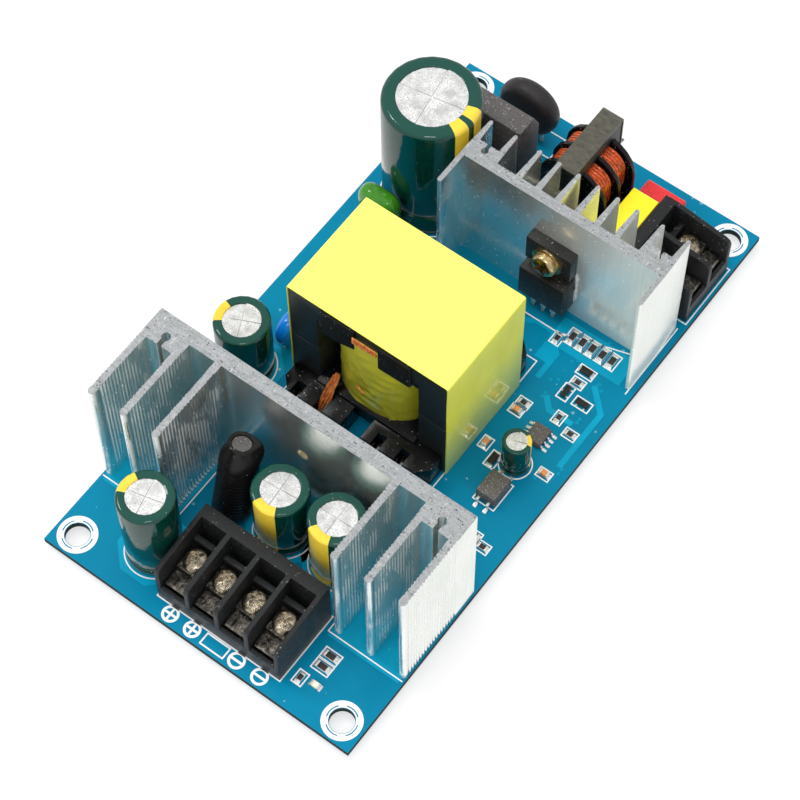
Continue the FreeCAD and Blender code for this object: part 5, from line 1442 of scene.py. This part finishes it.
class PSU_OT_packages(PieceOperator, bpy.types.Operator):
    """Finish the moulded packages and the small chips"""
    bl_idname = "psu.packages"
    bl_label = "Moulded packages"

    def make(self, f):
        dress_all(f, ("package", "moulding_black", 0.14, 2, "output_rectifier_body",
                      "switching_transistor_body"),
                  ("bridge", "moulding_black", 0.22, 2, "bridge_rectifier_body"),
                  ("chip", "moulding_black", 0.08, 2, "optocoupler_body"),
                  ("chip", "moulding_black", 0.06, 2, "controller_body"),
                  ("tin", "tinned_lead", 0.06, 2, "output_rectifier_leads",
                   "switching_transistor_leads", "bridge_rectifier_leads", "chip_leads"))
        self.paste(f)

    def paste(self, f):
        """Thermal paste pressed out between the transistor and its heatsink."""
        low, high = lumps("switching_transistor_body")[0]
        height = high.z - low.z
        upright = Matrix(((0, 0, 1, 0), (1, 0, 0, 0), (0, 1, 0, 0), (0, 0, 0, 1)))
        tuck, thick, steps = 0.1, 0.34, 12
        whole = Form()
        for edge, way, start, end, width in ((low.y, -1, 0.06, 0.6, 1.3),
                                             (high.y, 1, 0.42, 0.74, 1.2)):
            outline = [(edge - tuck * way, low.z + height * start)]
            for k in range(steps + 1):
                share = k / steps
                wobble = noise.noise(Vector((k * 0.83, way * 2.3, 0.5)))
                reach = width * (0.3 + 0.7 * math.sin(math.pi * share)) * (0.62 + 0.8 * wobble)
                outline.append((edge + way * max(reach, 0.12),
                                low.z + height * (start + (end - start) * share)))
            outline.append((edge - tuck * way, low.z + height * end))
            smear = Form()
            smear.prism(outline, high.x - thick, high.x)
            whole.join(smear, upright)
        keep(whole.piece("thermal_paste", [f["paste"]], 40, 0.12), "chip_ceramic")


def long_axis(low, high):
    """0 for a part that is longer along X, 1 for one that is longer along Y."""
    return 0 if high.x - low.x > high.y - low.y else 1


def shifted(corner, axis, way):
    """A corner moved along one axis."""
    moved = corner.copy()
    moved[axis] += way
    return moved


class PSU_OT_surface_parts(PieceOperator, bpy.types.Operator):
    """Make the chip resistors, chip capacitors, small transistors, diodes and lamp"""
    bl_idname = "psu.surface_parts"
    bl_label = "Surface parts"

    def make(self, f):
        self.group(f, "surface_resistors", self.chip, ("ceramic", "tin", "glaze"),
                   "chip_ceramic", 0.05, True)
        self.group(f, "surface_capacitors", self.chip, ("tan", "tin"), "capacitor_ceramic",
                   0.05, False)
        self.pads(f)
        self.group(f, "surface_transistors", self.small, ("package", "tin"),
                   "moulding_black", 0.05, True)
        self.group(f, "surface_diodes", self.small, ("package", "tin"), "moulding_black",
                   0.05, False)
        self.group(f, "indicator_lamp", self.chip, ("lamp", "tin"), "lamp_resin", 0.08, False)

    def group(self, f, node, build, names, slot, bevel, kind):
        form = Form()
        for low, high in lumps(node):
            build(form, low, high, kind)
        keep(form.piece(node + "_finished", [f[name] for name in names], bevel=bevel), slot,
             node)

    def pads(self, f):
        """Tinned pads with a fillet of solder up every chip's ends and every lead's tip."""
        form = Form()
        for node in ("surface_resistors", "surface_capacitors", "surface_diodes",
                     "indicator_lamp"):
            for low, high in lumps(node):
                for way in (-1, 1):
                    self.pad(form, low, high, way, 0.06, 0.08, (high.z - low.z) * 0.6)
        bodies = [(low + high) / 2 for node in ("optocoupler_body", "controller_body")
                  for low, high in lumps(node)]
        for low, high in lumps("chip_leads"):
            middle = (low + high) / 2
            body = min(bodies, key=lambda place: (place - middle).length)
            axis = long_axis(low, high)
            way = 1 if middle[axis] > body[axis] else -1
            self.pad(form, low, high, way, 0.12, 0.5, 0.34)
        keep(form.piece("surface_pads", [f["tin"]], 40, 0.03), "tinned_lead")

    def pad(self, form, low, high, way, wider, back, rise):
        """One pad from `back` under a part's end to beyond it, with solder that rises to it."""
        axis = long_axis(low, high)
        end = high[axis] if way > 0 else low[axis]
        points = []
        for side in (low[1 - axis] - wider, high[1 - axis] + wider):
            for run, z in ((-back, 0.01), (0.46, 0.01), (0.46, 0.07), (0.16, 0.16),
                           (-back, rise)):
                point = Vector((0, 0, BOARD_TOP + z))
                point[axis], point[1 - axis] = end + run * way, side
                points.append(point)
        form.add(points, [(0, 1, 2, 3, 4), (9, 8, 7, 6, 5)] + belt(1, 5))

    def chip(self, form, low, high, glazed):
        """A block with a metal cap on each end and, on a resistor, glaze on its top."""
        axis, glaze, inset = long_axis(low, high), 0.06, 0.06
        cap = (high[axis] - low[axis]) * 0.17
        body_low = shifted(low, axis, cap)
        body_high = shifted(high, axis, -cap)
        body_high.z -= 0.05
        form.box(body_low, shifted(body_high, 2, -glaze) if glazed else body_high)
        if glazed:
            body_low.z = body_high.z - glaze
            form.box(shifted(body_low, 1 - axis, inset), shifted(body_high, 1 - axis, -inset),
                     2)
        length = high[axis] - low[axis]
        form.box(low, shifted(high, axis, cap - length), 1)
        form.box(shifted(low, axis, length - cap), high, 1)

    def small(self, form, low, high, three):
        """A moulded block with three leads on its long sides, or with one on each end."""
        axis = long_axis(low, high)
        lead_axis = 1 - axis if three else axis
        run_axis = 1 - lead_axis
        middle, span = (low + high) / 2, high[axis] - low[axis]
        recess, tip, half = 0.12, 0.55, 0.2 if three else 0.45
        body_low = shifted(shifted(low, 2, recess), lead_axis, recess)
        form.box(body_low, shifted(high, lead_axis, -recess))
        for way, side in (((-0.32, 0), (0.32, 0), (0, 1)) if three else ((0, 0), (0, 1))):
            spot = middle[run_axis] + span * way
            lead_low, lead_high = low.copy(), low.copy()
            lead_low[run_axis], lead_high[run_axis] = spot - half, spot + half
            edge = high[lead_axis] if side else low[lead_axis]
            lead_low[lead_axis] = edge - (recess if side else tip)
            lead_high[lead_axis] = edge + (tip if side else recess)
            lead_high.z = low.z + 0.2
            form.box(lead_low, lead_high, 1)


# Rod choke

class PSU_OT_rod_choke(PieceOperator, bpy.types.Operator):
    """Make the leaning rod choke in its ribbed heat-shrink sleeve"""
    bl_idname = "psu.rod_choke"
    bl_label = "Rod choke"

    def make(self, f):
        foot = Vector((-46.9, 12.1, BOARD_TOP + 2.0))
        place = Matrix.Translation(foot) @ Matrix.Rotation(math.radians(15), 4, "Y")
        outer, wound, top, rod = 4.35, 17.0, 21.3, 2.1
        pitch = sizes().sleeve_rib / MM
        profile = [(2.2, 0.05), (outer - 0.5, 0.0), (outer - 0.15, 0.15)]
        for turn in range(int((wound - 0.6) / pitch)):
            base = 0.4 + turn * pitch
            profile += [(outer - 0.16, base), (outer - 0.02, base + pitch * 0.32),
                        (outer - 0.02, base + pitch * 0.68)]
        profile += [(outer - 0.14, wound - 0.1), (outer - 0.35, wound + 0.7),
                    (outer - 0.8, wound + 1.8), (outer - 1.15, wound + 2.9),
                    (3.1, top - 0.7), (3.02, top - 0.2), (2.8, top), (2.45, top - 0.02),
                    (2.15, top - 0.3), (2.12, top - 1.0)]

        def seam(angle, r, z):
            """A rough wall, and the ear of film that stands out where the sleeve was cut."""
            if z < wound - 2.5:
                wobble = noise.noise(Vector((math.cos(angle), math.sin(angle), z * 0.4)))
                return r - 0.06 + wobble * 0.06, z
            rise = max(0, 1 - abs(z - (wound + 2.4)) / 3.6)
            ear = max(math.cos(angle - math.radians(-48)), 0) ** 10 * rise
            return r + ear * 1.55 * (r > 2.6), z

        sleeve, core = Form(), Form()
        sleeve.lathe(profile, 80, place, bend=seam)
        keep(sleeve.piece("rod_choke_sleeve_finished", [f["shrink"]], 60), "black_shrink",
             "rod_choke_sleeve")
        core.lathe([(0, 0.0), (rod, 0.0), (rod, top - 0.6), (rod - 0.15, top - 0.45),
                    (0, top - 0.45)], 40, place)
        keep(core.piece("rod_choke_core_finished", [f["rod_end"]], 40), "ferrite",
             "rod_choke_core")


# Mains side

class PSU_OT_mains_side(PieceOperator, bpy.types.Operator):
    """Make the common mode choke, dipped parts and boxes of the mains side"""
    bl_idname = "psu.mains_side"
    bl_label = "Mains side parts"

    def make(self, f):
        dress_all(f, ("ferrite", "ferrite", 0.3, 2, "choke_core"),
                  ("bobbin", "bobbin_plastic", 0.12, 2, "choke_bobbin"),
                  ("clip", "clip_steel", 0.08, 2, "choke_clip"),
                  ("yellow_box", "yellow_case", 0.35, 3, "filter_capacitor_body"),
                  ("red_box", "red_case", 0.3, 3, "fuse_body"))
        self.windings(f)
        self.lens("thermistor_disc", f["disc"], "thermistor_coat", 0)
        self.lens("safety_capacitor_disc", f["blue_dip"], "blue_dip", 1)
        self.film(f)

    def windings(self, f):
        """Three layers of wire on each side of the choke, every second one a turn short."""
        pitch = sizes().turn_pitch / MM
        wire = pitch * 0.5
        layers = []
        for number, (low, high) in enumerate(lumps("choke_windings")):
            middle, half = centred(low, high)
            for layer in range(3):
                short = layer % 2
                reach = half.y - wire - layer * wire * 1.9
                loop = [(low.x + wire + wire * short, y, z) for y, z in
                        rounded_loop(middle.y, middle.z, reach, reach * 0.62)]
                layers.append(wind("choke_turns_%d_%d" % (number, layer), loop,
                                   int((high.x - low.x) / pitch) - short, pitch, wire,
                                   f["enamel"]))
        whole = joined(layers)
        whole.name = "choke_windings_finished"
        keep(whole, "winding_copper", "choke_windings")

    def lens(self, node, material, slot, axis):
        """A dipped disc, as thick along one axis as the solid it stands for."""
        middle, half = centred(*extent(node))
        turn = Matrix.Rotation(math.pi / 2, 4, "YX"[axis])
        form = Form()
        form.lathe(lens_profile(half.z, half[axis]), 56, Matrix.Translation(middle) @ turn)
        keep(form.piece(node + "_finished", [material], 70), slot, node)

    def film(self, f):
        """A dipped block with full, rounded sides."""
        middle, half = centred(*extent("film_capacitor_body"))
        middle.z += 0.6
        half *= Vector((1.1, 1.03, 1.1))
        rings, steps = 20, 40

        def fuller(value, power):
            return math.copysign(abs(value) ** power, value)

        points = []
        for ring in range(rings + 1):
            tilt = math.pi * (ring / rings - 0.5)
            for x, y in arc(0, 0, math.cos(tilt), steps):
                points.append(middle + half * Vector((fuller(x, 0.7), fuller(y, 0.6),
                                                      fuller(math.sin(tilt), 0.55))))
        form = Form()
        form.add(points, belt(rings, steps))
        keep(form.piece("film_capacitor_finished", [f["green_dip"]], 70), "green_dip",
             "film_capacitor_body")


def lens_profile(radius, half):
    """Half outline of a dipped disc: nearly flat faces that roll round the rim."""
    rim = half * 0.95
    flat = radius - rim
    profile = [(0.0, -half), (flat * 0.5, -half * 0.99)]
    profile += [(flat + rim * math.cos(math.radians(a)) ** 0.8 if a < 90 else flat,
                 half * math.sin(math.radians(a))) for a in range(-80, 81, 10)]
    profile += [(flat * 0.5, half * 0.99), (0.0, half)]
    return profile


def rounded_loop(y, z, half, corner):
    """A square loop with rounded corners."""
    loop = []
    for quarter, (way_y, way_z) in enumerate(((1, 1), (-1, 1), (-1, -1), (1, -1))):
        loop += arc(y + (half - corner) * way_y, z + (half - corner) * way_z, corner, 6,
                    math.pi / 2 * quarter, math.pi / 2)
    return loop


def joined(items):
    """One object with all their meshes."""
    first, *others = items
    work = opened(first.data)
    for other in others:
        work.from_mesh(other.data)
        bpy.data.objects.remove(other)
    written(work, first.data)
    return first


class PSU_OT_plain_metal(PieceOperator, bpy.types.Operator):
    """Give the leads and pins that keep their solids a tinned finish"""
    bl_idname = "psu.plain_metal"
    bl_label = "Leads and pins"

    def make(self, f):
        for node in ("heatsink_pins", "transformer_pins", "capacitor_leads", "choke_pins",
                     "small_part_leads"):
            repaint(node, f["tin"])
        repaint("rod_choke_winding", f["enamel"])


# Stage

CAMERA_PLACE = (-213.86, -158.44, 483.66)
CAMERA_RIGHT = (0.59664, -0.80251, -0.00173)
CAMERA_DOWN = (-0.70532, -0.52334, -0.47816)
CAMERA_AHEAD = (0.38282, 0.28651, -0.87827)
CAMERA_SHIFT = (-0.00889, -0.00669)

LAMPS = (("key_lamp", (0.05, 0.1, 0.95), 0.75, 0.8, False),
         ("front_lamp", (-0.36, -0.2, 0.84), 0.14, 0.12, True),
         ("side_lamp", (-0.75, 0.1, 0.55), 0.5, 0.25, False),
         ("glint_lamp", (-0.1, 0.55, 0.8), 0.16, 0.2, True))
WHITE = (1.0, 1.0, 1.0, 1.0)


class PSU_OT_stage(bpy.types.Operator):
    """Set the floor, the lamps, the pale surroundings and the camera"""
    bl_idname = "psu.stage"
    bl_label = "Stage"
    bl_options = {"REGISTER", "UNDO"}

    def execute(self, context):
        stage = context.scene.psu_stage
        context.scene.view_settings.view_transform = "Standard"
        self.floor(stage)
        self.sky(context.scene, stage)
        for name, place, size, share, reflected in LAMPS:
            self.lamp(name, place, size, stage.key_power * share, reflected)
        self.camera(context.scene, stage)
        return {"FINISHED"}

    def floor(self, stage):
        """Matt floor that looks white to the camera and in reflections."""
        half = stage.floor_size / 2
        mesh = bpy.data.meshes.new("floor")
        mesh.from_pydata([(x, y, 0) for x, y in oblong(0, 0, half, half)], [], [(0, 1, 2, 3)])
        floor = new_object("floor", mesh)
        material = bpy.data.materials.new("floor")
        material.use_nodes = True
        nodes = Nodes(material.node_tree)
        nodes.tree.nodes.remove(nodes.tree.nodes["Principled BSDF"])
        matte = nodes.add("ShaderNodeBsdfDiffuse")
        matte.inputs["Color"].default_value = (0.95, 0.95, 0.95, 1.0)
        glow = nodes.add("ShaderNodeEmission")
        glow.inputs["Color"].default_value = WHITE
        rays = nodes.add("ShaderNodeLightPath").outputs
        far = nodes.add("ShaderNodeVectorMath", operation="LENGTH")
        nodes.feed(far.inputs[0], nodes.place())
        pale = nodes.spread(far.outputs["Value"], 0.13, 0.4, 0.6, 1.0)
        seen = nodes.most(nodes.times(rays["Is Camera Ray"], pale),
                          nodes.most(rays["Is Glossy Ray"], rays["Is Transmission Ray"]))
        blend = nodes.add("ShaderNodeMixShader")
        for socket, value in zip(blend.inputs, (seen, matte.outputs[0], glow.outputs[0])):
            nodes.feed(socket, value)
        nodes.feed(nodes.tree.nodes["Material Output"].inputs["Surface"], blend.outputs[0])
        mesh.materials.append(material)

    def sky(self, scene, stage):
        world = bpy.data.worlds.new("surroundings")
        scene.world = world
        world.use_nodes = True
        nodes = Nodes(world.node_tree)
        rays = nodes.add("ShaderNodeLightPath").outputs
        seen = nodes.most(rays["Is Camera Ray"], nodes.times(rays["Is Glossy Ray"], 0.35))
        ground = world.node_tree.nodes["Background"]
        ground.inputs["Color"].default_value = WHITE
        nodes.feed(ground.inputs["Strength"], nodes.spread(seen, 0.0, 1.0, stage.sky, 1.0))

    def lamp(self, name, place, size, power, reflected):
        light = bpy.data.lights.new(name, "AREA")
        light.size = size
        light.energy = power
        item = new_object(name, light)
        item.location = place
        item.rotation_euler = (-Vector(place)).to_track_quat("-Z", "Y").to_euler()
        item.visible_glossy = reflected

    def camera(self, scene, stage):
        data = bpy.data.cameras.new("camera")
        data.sensor_width = 36.0
        data.lens = stage.lens
        data.shift_x, data.shift_y = CAMERA_SHIFT
        data.clip_start = 0.01
        data.clip_end = 20
        item = new_object("camera", data)
        right, down, ahead = Vector(CAMERA_RIGHT), Vector(CAMERA_DOWN), Vector(CAMERA_AHEAD)
        turn = Matrix((right, -down, -ahead)).transposed().to_4x4()
        spot = Vector(CAMERA_PLACE) + Vector((0, 0, BOARD_TOP))
        item.matrix_world = Matrix.Translation(spot * MM) @ turn
        scene.camera = item


class PSU_PT_panel(bpy.types.Panel):
    """Sizes, colours and the makers of every piece"""
    bl_idname = "PSU_PT_panel"
    bl_label = "Open Frame Power Supply"
    bl_space_type = "VIEW_3D"
    bl_region_type = "UI"
    bl_category = "Power Supply"

    def draw(self, context):
        scene = context.scene
        for group in (scene.psu_colours, scene.psu_sizes, scene.psu_stage):
            column = self.layout.box().column()
            for name in group.__annotations__:
                column.prop(group, name)
        for operator in MAKERS:
            self.layout.operator(operator.bl_idname)


MAKERS = (PSU_OT_stage, PSU_OT_board, PSU_OT_solder, PSU_OT_heatsinks, PSU_OT_capacitors,
          PSU_OT_terminals, PSU_OT_sink_screws, PSU_OT_transformer, PSU_OT_packages,
          PSU_OT_surface_parts, PSU_OT_rod_choke, PSU_OT_mains_side, PSU_OT_plain_metal)
CLASSES = (PSU_Colours, PSU_Sizes, PSU_Stage) + MAKERS + (PSU_PT_panel,)


def register():
    for item in CLASSES:
        bpy.utils.register_class(item)
    bpy.types.Scene.psu_colours = PointerProperty(type=PSU_Colours)
    bpy.types.Scene.psu_sizes = PointerProperty(type=PSU_Sizes)
    bpy.types.Scene.psu_stage = PointerProperty(type=PSU_Stage)


def unregister():
    for name in ("psu_colours", "psu_sizes", "psu_stage"):
        delattr(bpy.types.Scene, name)
    for item in reversed(CLASSES):
        bpy.utils.unregister_class(item)


def main():
    register()
    for maker in MAKERS:
        group, name = maker.bl_idname.split(".")
        getattr(getattr(bpy.ops, group), name)()


if __name__ == "__main__":
    main()
